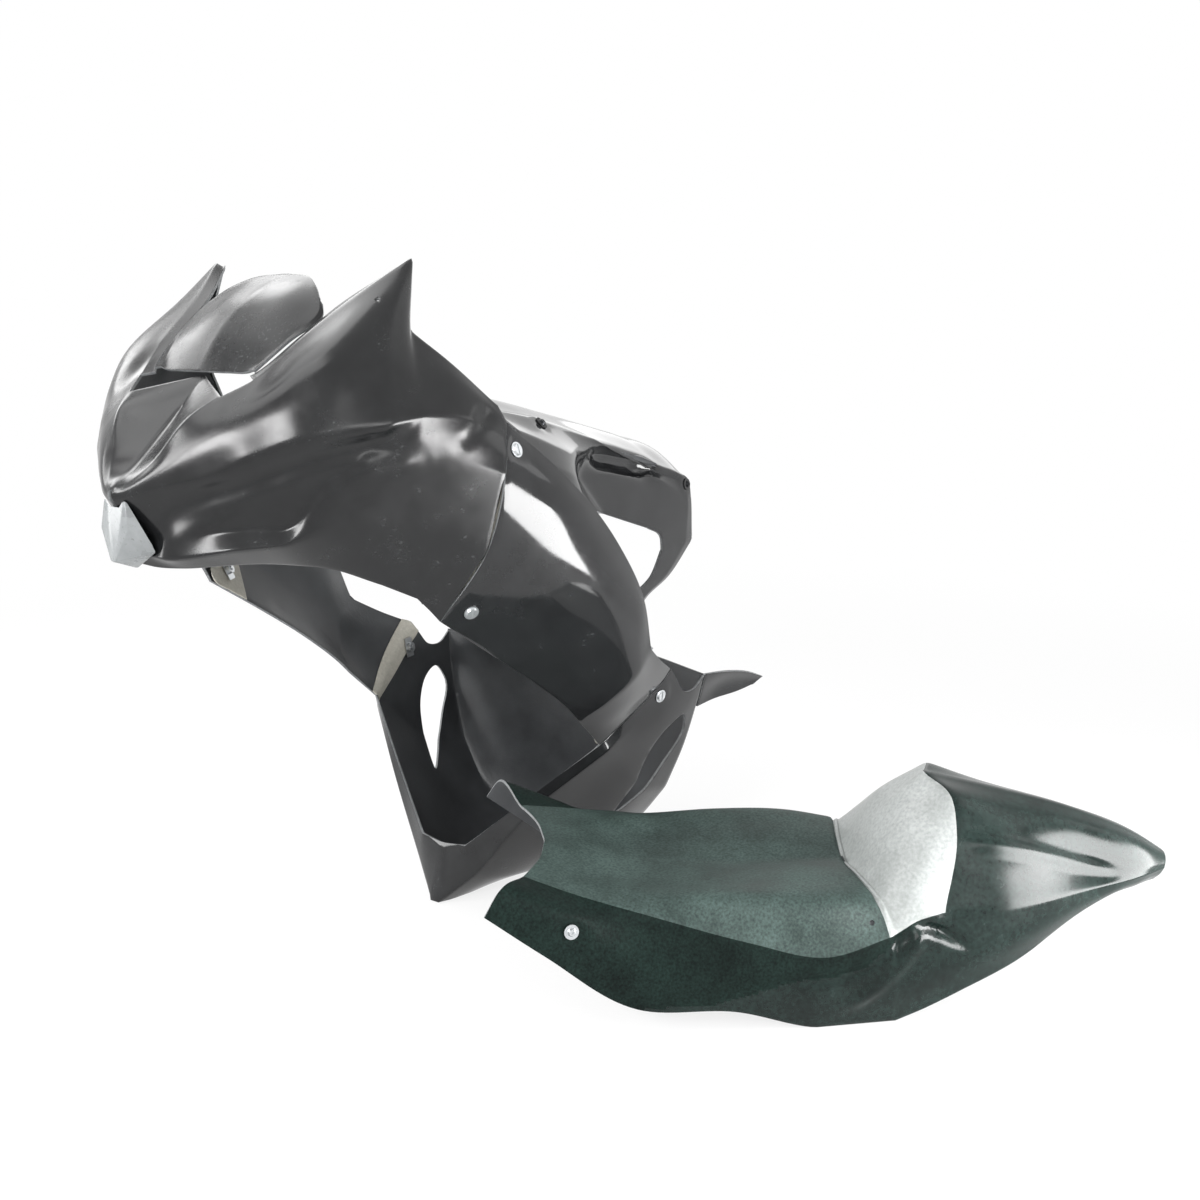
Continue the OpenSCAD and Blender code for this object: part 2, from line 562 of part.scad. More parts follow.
upper_fairing();
windscreen();
nose_snout();
side_panel_left();
side_panel_right();
belly_pan();
belly_flare_left();
belly_flare_right();
tank_cover();
seat_unit();
upper_joint_strip_left();
upper_joint_strip_right();
belly_joint_strip_left();
belly_joint_strip_right();
upper_joint_studs();
upper_joint_washers();
upper_joint_receptacles();
belly_joint_studs();
belly_joint_washers();
belly_joint_receptacles();
cover_screws();
cover_washers();
cover_nuts();
cover_strap_left();
cover_strap_right();
seat_screws();
seat_washers();
seat_nuts();
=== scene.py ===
import math

import bmesh
import bpy
import numpy as np
from mathutils import Euler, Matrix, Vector


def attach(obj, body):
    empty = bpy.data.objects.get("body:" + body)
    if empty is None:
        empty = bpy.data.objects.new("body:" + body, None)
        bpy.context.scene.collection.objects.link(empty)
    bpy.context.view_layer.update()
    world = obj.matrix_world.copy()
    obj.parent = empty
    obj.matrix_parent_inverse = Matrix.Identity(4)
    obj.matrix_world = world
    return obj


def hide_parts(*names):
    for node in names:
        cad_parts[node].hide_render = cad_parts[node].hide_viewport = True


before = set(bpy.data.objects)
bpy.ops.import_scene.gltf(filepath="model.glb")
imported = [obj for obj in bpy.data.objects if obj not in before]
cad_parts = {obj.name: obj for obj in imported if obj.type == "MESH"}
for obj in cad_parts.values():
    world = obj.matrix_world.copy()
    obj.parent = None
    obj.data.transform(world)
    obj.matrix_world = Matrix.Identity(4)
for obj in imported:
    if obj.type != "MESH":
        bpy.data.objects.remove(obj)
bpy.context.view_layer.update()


# Camera
# It stands to the left of the nose at the height of the horns and looks 36 degrees across the set.
camera_place = Vector((-1.4036, -1.2081, 0.7741))
camera_heading = math.radians(36)
camera_pitch = math.radians(-11.8)
# The photo's width and the focal length that fits its perspective, both in the photo's pixels
photo_px = 1200
focal_px = 1419
sensor_mm = 36


def stand(name, data):
    """A camera, a lamp or a mesh as an object of the scene."""
    thing = bpy.data.objects.new(name, data)
    bpy.context.scene.collection.objects.link(thing)
    return thing


camera = stand("camera", bpy.data.cameras.new("camera"))
look = Vector((math.cos(camera_heading) * math.cos(camera_pitch),
               math.sin(camera_heading) * math.cos(camera_pitch),
               math.sin(camera_pitch)))
camera.location = camera_place
camera.rotation_mode = "QUATERNION"
camera.rotation_quaternion = look.to_track_quat("-Z", "Y")
camera.data.sensor_width = sensor_mm
camera.data.lens = focal_px / photo_px * sensor_mm
camera.data.clip_start = 0.05
camera.data.clip_end = 60
bpy.context.scene.camera = camera
bpy.context.scene.view_settings.view_transform = "Standard"


# Studio
# A pale floor in an evenly lit white room, with soft boxes round the bodywork. Black gelcoat shows
# little of its own colour, so what it shows is the boxes, the room and its own other faces.
def linear(colour):
    """An sRGB hex colour as the linear values that a shader takes, with full alpha."""
    parts = [int(colour[k:k + 2], 16) / 255 for k in (1, 3, 5)]
    return [p / 12.92 if p <= 0.04045 else ((p + 0.055) / 1.055) ** 2.4 for p in parts] + [1.0]


def add(tree, kind, settings=None, inputs=None):
    """One node with its settings, and its inputs set to a value or linked from a socket."""
    node = tree.nodes.new(kind)
    for name, value in (settings or {}).items():
        setattr(node, name, value)
    for name, value in (inputs or {}).items():
        socket = node.inputs[name]
        if isinstance(value, bpy.types.NodeSocket):
            tree.links.new(value, socket)
        else:
            socket.default_value = value
    return node


def new_tree(name):
    """A new material, its node tree, and the place on the object that patterns follow, in metres."""
    material = bpy.data.materials.new(name)
    material.use_nodes = True
    tree = material.node_tree
    tree.nodes.clear()
    return material, tree, add(tree, "ShaderNodeTexCoord").outputs["Object"]


def soft_box(name, place, target, width, height, watts):
    """A rectangular lamp at a place, facing a target, in metres and watts."""
    lamp = bpy.data.lights.new(name, "AREA")
    lamp.shape = "RECTANGLE"
    lamp.size = width
    lamp.size_y = height
    lamp.energy = watts
    box = stand(name, lamp)
    box.location = place
    box.visible_camera = False
    box.rotation_mode = "QUATERNION"
    box.rotation_quaternion = (Vector(target) - Vector(place)).to_track_quat("-Z", "Y")


# The boxes stand where the gelcoat mirrors them towards the camera: ahead of the nose for its ridges,
# low by the chin and beside the near panel, behind the far horn, the hump and the deck, by the tail.
soft_box("box_front", (-2.49, -0.50, 1.50), (-0.50, -0.10, 0.64), 1.00, 0.60, 44)
soft_box("box_front_high", (-2.20, 0.70, 1.75), (-0.52, -0.05, 0.58), 1.50, 0.50, 40)
soft_box("box_above_nose", (-1.41, 0.43, 2.58), (-0.46, -0.12, 0.68), 1.20, 0.80, 10)
soft_box("box_above_horn", (-0.39, 1.10, 2.62), (-0.39, -0.15, 0.75), 1.40, 0.90, 9)
soft_box("box_chin", (-1.72, 1.38, 0.52), (-0.56, 0.0, 0.54), 0.60, 0.70, 13)
soft_box("box_side_low", (0.26, -1.46, 0.29), (-0.23, -0.25, 0.55), 0.80, 0.50, 30)
soft_box("box_side", (-1.12, -2.30, 1.15), (-0.39, -0.19, 0.60), 1.10, 0.40, 7)
soft_box("box_behind_horn", (-0.45, 2.04, 1.70), (-0.45, 0.08, 0.70), 1.10, 0.60, 12)
soft_box("box_behind_hump", (0.50, 1.50, 2.10), (0.04, -0.60, 0.23), 0.90, 0.70, 12)
soft_box("box_behind_deck", (2.35, 0.81, 1.05), (0.10, -0.12, 0.60), 1.00, 0.50, 1.8)
soft_box("box_tail", (1.40, -2.03, 1.41), (0.13, -0.76, 0.15), 1.00, 0.70, 3.2)

# The room is white to the eye, in the gelcoat and through gaps. As a light it is dimmer than that, and
# dimmer still towards the floor.
room_low = 0.30
room_high = 0.60
world = bpy.data.worlds.new("studio")
bpy.context.scene.world = world
world.use_nodes = True
tree = world.node_tree
tree.nodes.clear()


def seen_rays(tree):
    """1 for the rays that show a surface: straight to the camera, mirrored, or let through."""
    ray = add(tree, "ShaderNodeLightPath")
    mirrored_too = add(tree, "ShaderNodeMath", {"operation": "MAXIMUM"},
                       {0: ray.outputs["Is Camera Ray"], 1: ray.outputs["Is Glossy Ray"]})
    return add(tree, "ShaderNodeMath", {"operation": "MAXIMUM"},
               {0: mirrored_too.outputs["Value"], 1: ray.outputs["Is Transmission Ray"]}).outputs["Value"]


direction = add(tree, "ShaderNodeTexCoord")
parts = add(tree, "ShaderNodeSeparateXYZ", inputs={"Vector": direction.outputs["Generated"]})
room = add(tree, "ShaderNodeMapRange",
           inputs={"Value": parts.outputs["Z"], "From Min": -0.2, "From Max": 1.0,
                   "To Min": room_low, "To Max": room_high})
shown = add(tree, "ShaderNodeMix", {"data_type": "FLOAT"},
            {0: seen_rays(tree), 2: room.outputs["Result"], 3: 1.0})
sky = add(tree, "ShaderNodeBackground", inputs={"Color": linear("#ffffff"), "Strength": shown.outputs[0]})
add(tree, "ShaderNodeOutputWorld", inputs={"Surface": sky.outputs["Background"]})

# White paint that takes the shadow near the bodywork and runs into the white of the room far off. It
# lies a hair under the keel's foot, so that the two don't share a plane.
floor_reach = 14.0
floor_drop = 0.0005
shadow_reach = 0.8
white_from = 2.6
corners = ((-1, -1), (1, -1), (1, 1), (-1, 1))
floor_mesh = bpy.data.meshes.new("floor")
floor_mesh.from_pydata([(floor_reach * x, floor_reach * y, 0) for x, y in corners], [], [(0, 1, 2, 3)])
floor = stand("floor", floor_mesh)
floor.location.z = -floor_drop
floor_material, tree, place = new_tree("white_painted_floor")
paint = add(tree, "ShaderNodeBsdfDiffuse", inputs={"Color": linear("#f4f4f4")})
glow = add(tree, "ShaderNodeEmission", inputs={"Color": linear("#ffffff"), "Strength": 1.0})
away = add(tree, "ShaderNodeVectorMath", {"operation": "LENGTH"}, {0: place})
fade = add(tree, "ShaderNodeMapRange", {"interpolation_type": "SMOOTHSTEP"},
           {"Value": away.outputs["Value"], "From Min": shadow_reach, "From Max": white_from,
            "To Min": 0.80, "To Max": 1.0})
share = add(tree, "ShaderNodeMath", {"operation": "MULTIPLY"},
            {0: seen_rays(tree), 1: fade.outputs["Result"]})
both = add(tree, "ShaderNodeMixShader",
           inputs={0: share.outputs["Value"], 1: paint.outputs["BSDF"], 2: glow.outputs["Emission"]})
add(tree, "ShaderNodeOutputMaterial", inputs={"Surface": both.outputs["Shader"]})
floor_mesh.materials.append(floor_material)


# Nose fairing
# One glass-fibre moulding laid up in a female mould with a black gelcoat face: the bridge under the
# screen, two horns, two ridges down each flank and the front half of the wheel arch. Trimmed with
# a disc, so the edges are plain and about 3 mm thick.

# The nose tip's place along the frame, the thickness of every laminate, the gap at each joint, the
# cells to a span of the nets here and in the solids, and the millimetres in a metre
nose_x = -560
laminate = 3
seam = 1
steps = 12
solid_steps = 2
mm_per_m = 1000


def spline(points, steps, sharp):
    """A smooth curve through points, steps to each span, with a corner where sharp says so."""
    points = np.asarray(points, float)
    last = len(points) - 1
    chords = np.diff(points, axis=0)
    lengths = np.maximum(np.linalg.norm(chords, axis=-1, keepdims=True), 1e-6)

    def slope(i, side):
        if i == 0:
            return chords[0]
        if i == last:
            return chords[-1]
        if sharp[i]:
            return chords[i] if side > 0 else chords[i - 1]
        mixed = (chords[i - 1] / lengths[i - 1] * lengths[i] + chords[i] / lengths[i] * lengths[i - 1])
        return mixed / (lengths[i - 1] + lengths[i]) * (lengths[i] if side > 0 else lengths[i - 1])

    curve = []
    for i in range(last):
        start, end = slope(i, 1), slope(i + 1, -1)
        for k in range(steps):
            t = k / steps
            curve.append(points[i] * (2 * t**3 - 3 * t**2 + 1) + start * (t**3 - 2 * t**2 + t)
                         + points[i + 1] * (3 * t**2 - 2 * t**3) + end * (t**3 - t**2))
    return np.array(curve + [points[-1]])


def skin(net, steps, sharp_rows, sharp_cols, row_steps=None):
    """The smooth surface through a net of points, as a grid with steps cells to each span. The spans
    from row to row can have a number of their own."""
    wide = np.array([spline(row, steps, sharp_cols) for row in net])
    columns = [spline(wide[:, j], row_steps or steps, sharp_rows) for j in range(wide.shape[1])]
    return np.transpose(np.array(columns), (1, 0, 2))


def faired(grid, passes):
    """The grid with its creases rounded as a mould's are, and its edges left where they were."""
    grid = grid.copy()
    for _ in range(passes):
        middle = grid[1:-1, 1:-1]
        around = (grid[:-2, 1:-1] + grid[2:, 1:-1] + grid[1:-1, :-2] + grid[1:-1, 2:]) / 4
        grid[1:-1, 1:-1] = middle + 0.5 * (around - middle)
    return grid


def mirrored(grid):
    """The other half, with its columns in order from the outside to the middle."""
    return grid[:, ::-1] * [1, -1, 1]


def whole(half):
    """Both halves of a grid whose columns run from the middle to the outside."""
    return np.concatenate([mirrored(half), half], axis=1)


def cells_of(half):
    """For each cell of the whole: its row, how many cells it lies from the middle, and whether it is
    in the middle strip itself."""
    rows, half_cols = half.shape[:2]
    row, column = np.indices((rows - 1, 2 * half_cols - 1))
    from_middle = np.where(column >= half_cols, column - half_cols, half_cols - 2 - column)
    return row, from_middle, column == half_cols - 1


def normals_of(grid):
    """Outward unit normals of a grid."""
    along = np.gradient(grid, axis=0)
    across = np.gradient(grid, axis=1)
    normals = np.cross(along, across)
    return normals / np.maximum(np.linalg.norm(normals, axis=-1, keepdims=True), 1e-9)


def moulding(name, grid, thickness, materials, keep=None, face_slot=None, zipped=False):
    """A laminate whose gelcoat face is the grid. Its materials are those of the outside, the inside
    and the trimmed edge, and face_slot can give the outside another one for each cell. Zipped, the
    two halves of the last row are the sides of one gap, which is closed with the same laminate."""
    outside, inside, edge = 0, 1, 2
    inner = grid - thickness * normals_of(grid)
    rows, cols = grid.shape[0], grid.shape[1]
    count = rows * cols
    points = np.concatenate([grid.reshape(-1, 3), inner.reshape(-1, 3)])
    is_kept = np.ones((rows - 1, cols - 1), bool) if keep is None else keep
    faces, slots = [], []
    for i in range(rows - 1):
        for j in range(cols - 1):
            if not is_kept[i, j]:
                continue
            a, b, c, d = i * cols + j, (i + 1) * cols + j, (i + 1) * cols + j + 1, i * cols + j + 1
            faces += [(a, b, c, d), (a + count, d + count, c + count, b + count)]
            slots += [outside if face_slot is None else int(face_slot[i, j]), inside]
            neighbours = ((a, d, i - 1, j), (d, c, i, j + 1), (c, b, i + 1, j), (b, a, i, j - 1))
            for near, far, k, m in neighbours:
                if zipped and k >= rows - 1:
                    continue
                if k < 0 or m < 0 or k >= rows - 1 or m >= cols - 1 or not is_kept[k, m]:
                    faces.append((near, far, far + count, near + count))
                    slots.append(edge)
    if zipped:
        last = (rows - 1) * cols
        for j in range((cols - 1) // 2):
            a, b, c, d = last + j, last + cols - 1 - j, last + cols - 2 - j, last + j + 1
            faces += [(a, b, c, d), (a + count, d + count, c + count, b + count)]
            slots += [outside, inside]
        faces.append((last, last + cols - 1, last + cols - 1 + count, last + count))
        slots.append(edge)
    mesh = bpy.data.meshes.new(name)
    mesh.from_pydata([tuple(p / mm_per_m) for p in points], [], faces)
    for material in materials:
        mesh.materials.append(material)
    mesh.polygons.foreach_set("material_index", slots)
    work = bmesh.new()
    work.from_mesh(mesh)
    bmesh.ops.delete(work, geom=[v for v in work.verts if not v.link_faces], context="VERTS")
    bmesh.ops.recalc_face_normals(work, faces=work.faces)
    work.to_mesh(mesh)
    work.free()
    return stand(name, mesh)


def finish_edges(piece, width, angle=50, smooth_under=35):
    """Breaks the edges sharper than an angle by a small bevel, and shades the faces smoothly between
    the edges that are left."""
    bevel = piece.modifiers.new("broken_edge", "BEVEL")
    bevel.width = width / mm_per_m
    bevel.segments = 2
    bevel.limit_method = "ANGLE"
    bevel.angle_limit = math.radians(angle)
    bevel.use_clamp_overlap = True
    bpy.context.view_layer.objects.active = piece
    for other in bpy.context.selected_objects:
        other.select_set(False)
    piece.select_set(True)
    bpy.ops.object.modifier_apply(modifier=bevel.name)
    bpy.ops.object.shade_smooth_by_angle(angle=math.radians(smooth_under))


def pressed(grid, path, width, depth):
    """The grid with a groove pressed along a path, or with a depth below nought a rib raised there.
    It runs out to a small share of its depth at both ends of the path."""
    run_out = 6
    end_share = 0.15
    path = np.asarray(path, float)
    share = np.zeros(grid.shape[:2])
    lengths = np.linalg.norm(np.diff(path, axis=0), axis=1)
    run, total = np.concatenate([[0], np.cumsum(lengths)]), lengths.sum()
    for k, (start, end) in enumerate(zip(path[:-1], path[1:])):
        along = end - start
        t = np.clip(((grid - start) @ along) / (along @ along), 0, 1)
        away = np.linalg.norm(grid - (start + t[..., None] * along), axis=-1)
        reached = (run[k] + t * lengths[k]) / total
        ends = np.clip(np.minimum(reached, 1 - reached) * run_out + end_share, 0, 1)
        near = np.clip(1 - 2 * away / width, 0, 1)
        share = np.maximum(share, near * near * (3 - 2 * near) * ends)
    return grid - depth * share[..., None] * normals_of(grid)


def place_set(grid):
    """From millimetres behind the nose tip to the frame's place for them."""
    return grid + [nose_x, 0, 0]


def facet_at(grid, s, t):
    """The flat facet of a coarse grid at s rows and t columns: a point on it and its outward normal."""
    i, j = int(s), int(t)
    u, v = s - i, t - j
    p, q, r, w = grid[i, j], grid[i + 1, j], grid[i + 1, j + 1], grid[i, j + 1]
    if u > v:
        point, normal = p + (u - v) * (q - p) + v * (r - p), np.cross(q - p, r - p)
    else:
        point, normal = p + (v - u) * (w - p) + u * (r - p), np.cross(r - p, w - p)
    return point, normal / np.linalg.norm(normal)


def spot_faced(grid, spots, width):
    """The grid made flat round each spot, a point and its normal, so that a fastener bears on it."""
    for point, normal in spots:
        above = (grid - point) @ normal
        away = np.linalg.norm(grid - point, axis=-1)
        share = np.clip(2 - 2 * away / width, 0, 1)
        grid = grid - (share * share * (3 - 2 * share) * above)[..., None] * normal
    return grid


def subtract(piece, tool, material_mode="INDEX"):
    """Cuts a tool's body out of a piece, and takes the tool away."""
    difference = piece.modifiers.new("cut", "BOOLEAN")
    difference.operation = "DIFFERENCE"
    difference.solver = "EXACT"
    difference.material_mode = material_mode
    difference.object = tool
    bpy.context.view_layer.objects.active = piece
    bpy.ops.object.modifier_apply(modifier=difference.name)
    bpy.data.objects.remove(tool)


def cut(piece, outlines, material):
    """Cuts holes through a piece. Each outline is a pair of rings of points in millimetres, the two
    ends of a prism that reaches through the laminate. The cut's walls take the material given."""
    work = bmesh.new()
    for low, high in outlines:
        ends = [[work.verts.new(Vector(p) / mm_per_m) for p in ring] for ring in (low, high)]
        count = len(low)
        work.faces.new(ends[0])
        work.faces.new(ends[1])
        for k in range(count):
            work.faces.new([ends[0][k], ends[0][(k + 1) % count], ends[1][(k + 1) % count], ends[1][k]])
    bmesh.ops.recalc_face_normals(work, faces=work.faces)
    mesh = bpy.data.meshes.new("tool")
    work.to_mesh(mesh)
    work.free()
    mesh.materials.append(material)
    subtract(piece, stand("tool", mesh), material_mode="TRANSFER")


def bore(point, normal, width, depth=12):
    """The two end rings of a round tool of a width, along a normal through a point."""
    sides, clear = 24, 12
    turn = Vector(normal).to_track_quat("Z", "Y").to_matrix()
    angles = [2 * math.pi * k / sides for k in range(sides)]
    circle = [(width / 2 * math.cos(a), width / 2 * math.sin(a)) for a in angles]
    return [[tuple(Vector(point) + turn @ Vector((x, y, up))) for x, y in circle]
            for up in (-depth, clear)]


def both_sides(points):
    """Points with their normals, and the same mirrored to the other side."""
    return points + [(p * [1, -1, 1], n * [1, -1, 1]) for p, n in points]


# Black gelcoat, sprayed in the mould and waxed: deep black and glossy, with the faint waviness of the
# mould, a fine orange peel, dull patches of dried polish, and hairline scratches from use. Orange peel
# and hairlines are finer than a pixel, so both are drawn as coarse as they need to show.
def black_gelcoat(name, dull, glossy, scuffed, mirror, low="#0c0c0d", high="#1b1c1d"):
    """The gelcoat with its roughness where it is dull and glossy, how much of it is scuffed, how
    strongly it mirrors, and its two tones."""
    wave_mm, polish_mm, peel_mm, hairline_mm = 60, 40, 4, 2.5
    scuff_rough = 0.55
    gelcoat, tree, place = new_tree(name)
    waves = add(tree, "ShaderNodeTexNoise",
                inputs={"Vector": place, "Scale": mm_per_m / wave_mm, "Detail": 1.0})
    peel = add(tree, "ShaderNodeTexNoise",
               inputs={"Vector": place, "Scale": mm_per_m / peel_mm, "Detail": 2.0})
    polish = add(tree, "ShaderNodeTexNoise",
                 inputs={"Vector": place, "Scale": mm_per_m / polish_mm, "Detail": 6.0, "Roughness": 0.65})
    drawn = add(tree, "ShaderNodeMapping",
                inputs={"Vector": place, "Rotation": (0.5, 0.3, 0.9), "Scale": (0.06, 1.0, 1.0)})
    hairlines = add(tree, "ShaderNodeTexNoise",
                    inputs={"Vector": drawn.outputs["Vector"], "Scale": mm_per_m / hairline_mm,
                            "Detail": 3.0, "Roughness": 0.6})
    where = add(tree, "ShaderNodeMapRange",
                inputs={"Value": polish.outputs["Fac"], "From Min": 0.62 - 0.2 * scuffed,
                        "From Max": 0.74 - 0.2 * scuffed})
    lines = add(tree, "ShaderNodeMapRange",
                inputs={"Value": hairlines.outputs["Fac"], "From Min": 0.60, "From Max": 0.70})
    scuff = add(tree, "ShaderNodeMath", {"operation": "MULTIPLY"},
                {0: where.outputs["Result"], 1: lines.outputs["Result"]})
    wave_bump = add(tree, "ShaderNodeBump",
                    inputs={"Height": waves.outputs["Fac"], "Strength": 0.2, "Distance": 0.001})
    peel_bump = add(tree, "ShaderNodeBump",
                    inputs={"Height": peel.outputs["Fac"], "Strength": 0.08, "Distance": 0.0002,
                            "Normal": wave_bump.outputs["Normal"]})
    haze = add(tree, "ShaderNodeMapRange",
               inputs={"Value": polish.outputs["Fac"], "From Min": 0.35, "From Max": 0.75,
                       "To Min": glossy, "To Max": dull})
    rough = add(tree, "ShaderNodeMix", {"data_type": "FLOAT"},
                {0: scuff.outputs["Value"], 2: haze.outputs["Result"], 3: scuff_rough})
    tone = add(tree, "ShaderNodeMix", {"data_type": "RGBA"}, {"Factor": polish.outputs["Fac"]})
    tone.inputs[6].default_value = linear(low)
    tone.inputs[7].default_value = linear(high)
    worn = add(tree, "ShaderNodeMix", {"data_type": "RGBA"},
               {"Factor": scuff.outputs["Value"], 6: tone.outputs[2]})
    worn.inputs[7].default_value = linear("#4c4e4f")
    shader = add(tree, "ShaderNodeBsdfPrincipled",
                 inputs={"Base Color": worn.outputs[2], "Roughness": rough.outputs[0],
                         "Normal": peel_bump.outputs["Normal"], "IOR": 1.5,
                         "Specular IOR Level": mirror})
    add(tree, "ShaderNodeOutputMaterial", inputs={"Surface": shader.outputs["BSDF"]})
    return gelcoat


# Waxed on the nose, and polished on the panels, the belly pan and the tank cover. The screen is dusty, and
# the chin is painted a pale grey as a painted highlight, for the light that its flat facets mirror.
gelcoat = black_gelcoat("black_gelcoat_waxed", 0.32, 0.18, 0.25, 0.40)
gloss = black_gelcoat("black_gelcoat_polished", 0.15, 0.06, 0.0, 0.40, low="#121213", high="#262728")
dusty = black_gelcoat("black_gelcoat_dusty", 0.36, 0.22, 0.8, 0.25)
chin_painted_highlight = black_gelcoat("gelcoat_painted_highlight_grey", 0.40, 0.24, 0.8, 0.5, low="#4a4d4e", high="#8f9293")

# The inner face of the laminate: black pigmented resin over chopped strand, satin and uneven. Strands
# show in relief, and the resin has pooled in wider patches.
strand_mm = 7
pool_mm = 55
inner_face, tree, place = new_tree("black_laminate_rough_side")
strands = add(tree, "ShaderNodeTexNoise",
              inputs={"Vector": place, "Scale": mm_per_m / strand_mm, "Detail": 5.0, "Roughness": 0.7})
pools = add(tree, "ShaderNodeTexNoise",
            inputs={"Vector": place, "Scale": mm_per_m / pool_mm, "Detail": 3.0})
strand_bump = add(tree, "ShaderNodeBump",
                  inputs={"Height": strands.outputs["Fac"], "Strength": 0.5, "Distance": 0.0006})
tone = add(tree, "ShaderNodeMix", {"data_type": "RGBA"}, {"Factor": pools.outputs["Fac"]})
tone.inputs[6].default_value = linear("#222325")
tone.inputs[7].default_value = linear("#484a4c")
rough = add(tree, "ShaderNodeMapRange",
            inputs={"Value": pools.outputs["Fac"], "To Min": 0.28, "To Max": 0.55})
shader = add(tree, "ShaderNodeBsdfPrincipled",
             inputs={"Base Color": tone.outputs[2], "Roughness": rough.outputs["Result"],
                     "Normal": strand_bump.outputs["Normal"], "IOR": 1.5, "Specular IOR Level": 0.3})
add(tree, "ShaderNodeOutputMaterial", inputs={"Surface": shader.outputs["BSDF"]})

# The trimmed edge: cut laminate sanded smooth, paler than the gelcoat, with glass showing in it.
grit_mm = 3
cut_edge, tree, place = new_tree("laminate_cut_edge")
grit = add(tree, "ShaderNodeTexNoise",
           inputs={"Vector": place, "Scale": mm_per_m / grit_mm, "Detail": 3.0})
tone = add(tree, "ShaderNodeMix", {"data_type": "RGBA"}, {"Factor": grit.outputs["Fac"]})
tone.inputs[6].default_value = linear("#3a3c3e")
tone.inputs[7].default_value = linear("#8d8f90")
shader = add(tree, "ShaderNodeBsdfPrincipled",
             inputs={"Base Color": tone.outputs[2], "Roughness": 0.5, "IOR": 1.5})
add(tree, "ShaderNodeOutputMaterial", inputs={"Surface": shader.outputs["BSDF"]})
laminate_look = [gelcoat, inner_face, cut_edge]
gloss_look = [gloss, inner_face, cut_edge]
dusty_look = [dusty, inner_face, cut_edge]

# Ribs of the right half, from the middle of the bridge or the screen flange, over the crest and
# down the two ridges to the wheel arch.
joint_rib = [[318, 214, 662], [323, 226, 668], [325, 236, 650], [316, 243, 634], [310, 248, 618],
    [304, 251, 598], [292, 234, 515], [263, 191, 438]]
upper_net = [
    [[-1, 2, 594], [-3, 3, 591], [-3, 3, 588], [-2, 3, 584], [6, 3, 572], [22, 3, 548],
        [24, 3, 528], [28, 3, 516]],
    [[1, 4, 597], [2, 10, 596], [1, 14, 592], [2, 16, 587], [12, 18, 572], [26, 20, 546],
        [24, 20, 527], [32, 20, 514]],
    [[24, 4, 612], [22, 29, 617], [15, 38, 607], [18, 44, 596], [34, 51, 577], [36, 42, 543],
        [24, 42, 525], [46, 44, 513]],
    [[62, 5, 645], [54, 58, 667], [48, 80, 642], [55, 100, 614], [64, 97, 586], [62, 72, 549],
        [46, 81, 530], [77, 77, 515]],
    [[118, 4, 701], [80, 74, 684], [66, 98, 660], [66, 116, 624], [76, 114, 592], [76, 88, 551],
        [58, 100, 534], [95, 90, 515]],
    [[116, 76, 703], [108, 90, 700], [84, 116, 672], [83, 135, 634], [90, 126, 593],
        [90, 102, 552], [75, 116, 536], [110, 100, 514]],
    [[166, 98, 742], [158, 107, 740], [115, 142, 700], [103, 160, 645], [106, 143, 594],
        [115, 128, 552], [97, 137, 539], [132, 117, 511]],
    [[214, 109, 775], [205, 121, 774], [150, 170, 722], [139, 188, 651], [135, 168, 606],
        [134, 154, 579], [121, 155, 548], [154, 134, 507]],
    [[276, 146, 818], [273, 157, 824], [205, 182, 745], [178, 212, 657], [170, 196, 630],
        [167, 190, 614], [159, 176, 553], [203, 165, 485]],
    [[258, 157, 746], [250, 170, 748], [232, 195, 712], [215, 222, 665], [208, 218, 642],
        [212, 215, 624], [208, 198, 552], [240, 180, 466]],
    [[276, 184, 712], [278, 198, 716], [272, 215, 695], [262, 232, 660], [258, 233, 640],
        [256, 232, 612], [250, 217, 540], [252, 186, 452]],
    joint_rib,
]
# The lip's upper line lies nearer its edge than in the solids, so that the lip faces out
lip_line = 5
lip_shift = [-9, 6, 2]
for rib in upper_net[2:8]:
    rib[lip_line] = [at + shift for at, shift in zip(rib[lip_line], lip_shift)]
upper_sharp_rows = [0, 0, 0, 0, 0, 0, 0, 0, 1, 1, 0, 0]
upper_sharp = [0, 1, 0, 1, 0, 1, 1, 0]
upper_half = faired(skin(upper_net, steps, upper_sharp_rows, upper_sharp), 3)
# The crease that steps up to the shoulder over the joint, the slanting one under the ridges, the
# hollow below the long ridge, and the fold that sweeps up from the end of the lip
shoulder_crease = [[257, 226, 630], [274, 229, 642], [292, 233, 656], [310, 236, 668]]
slanting_crease = [[179, 190, 506], [196, 199, 517], [215, 210, 531]]
swept_fold = [[130, 125, 556], [143, 145, 578], [158, 165, 599], [174, 182, 613], [223, 205, 622]]
below_ridge = [[36, 60, 584], [72, 106, 600], [94, 136, 612], [112, 158, 622], [142, 182, 632],
               [190, 212, 642]]
upper_half = pressed(upper_half, below_ridge, width=34, depth=5)
upper_half = pressed(upper_half, swept_fold, width=44, depth=-8)
upper_half = pressed(upper_half, shoulder_crease, width=30, depth=3)
upper_half = pressed(upper_half, slanting_crease, width=16, depth=3)
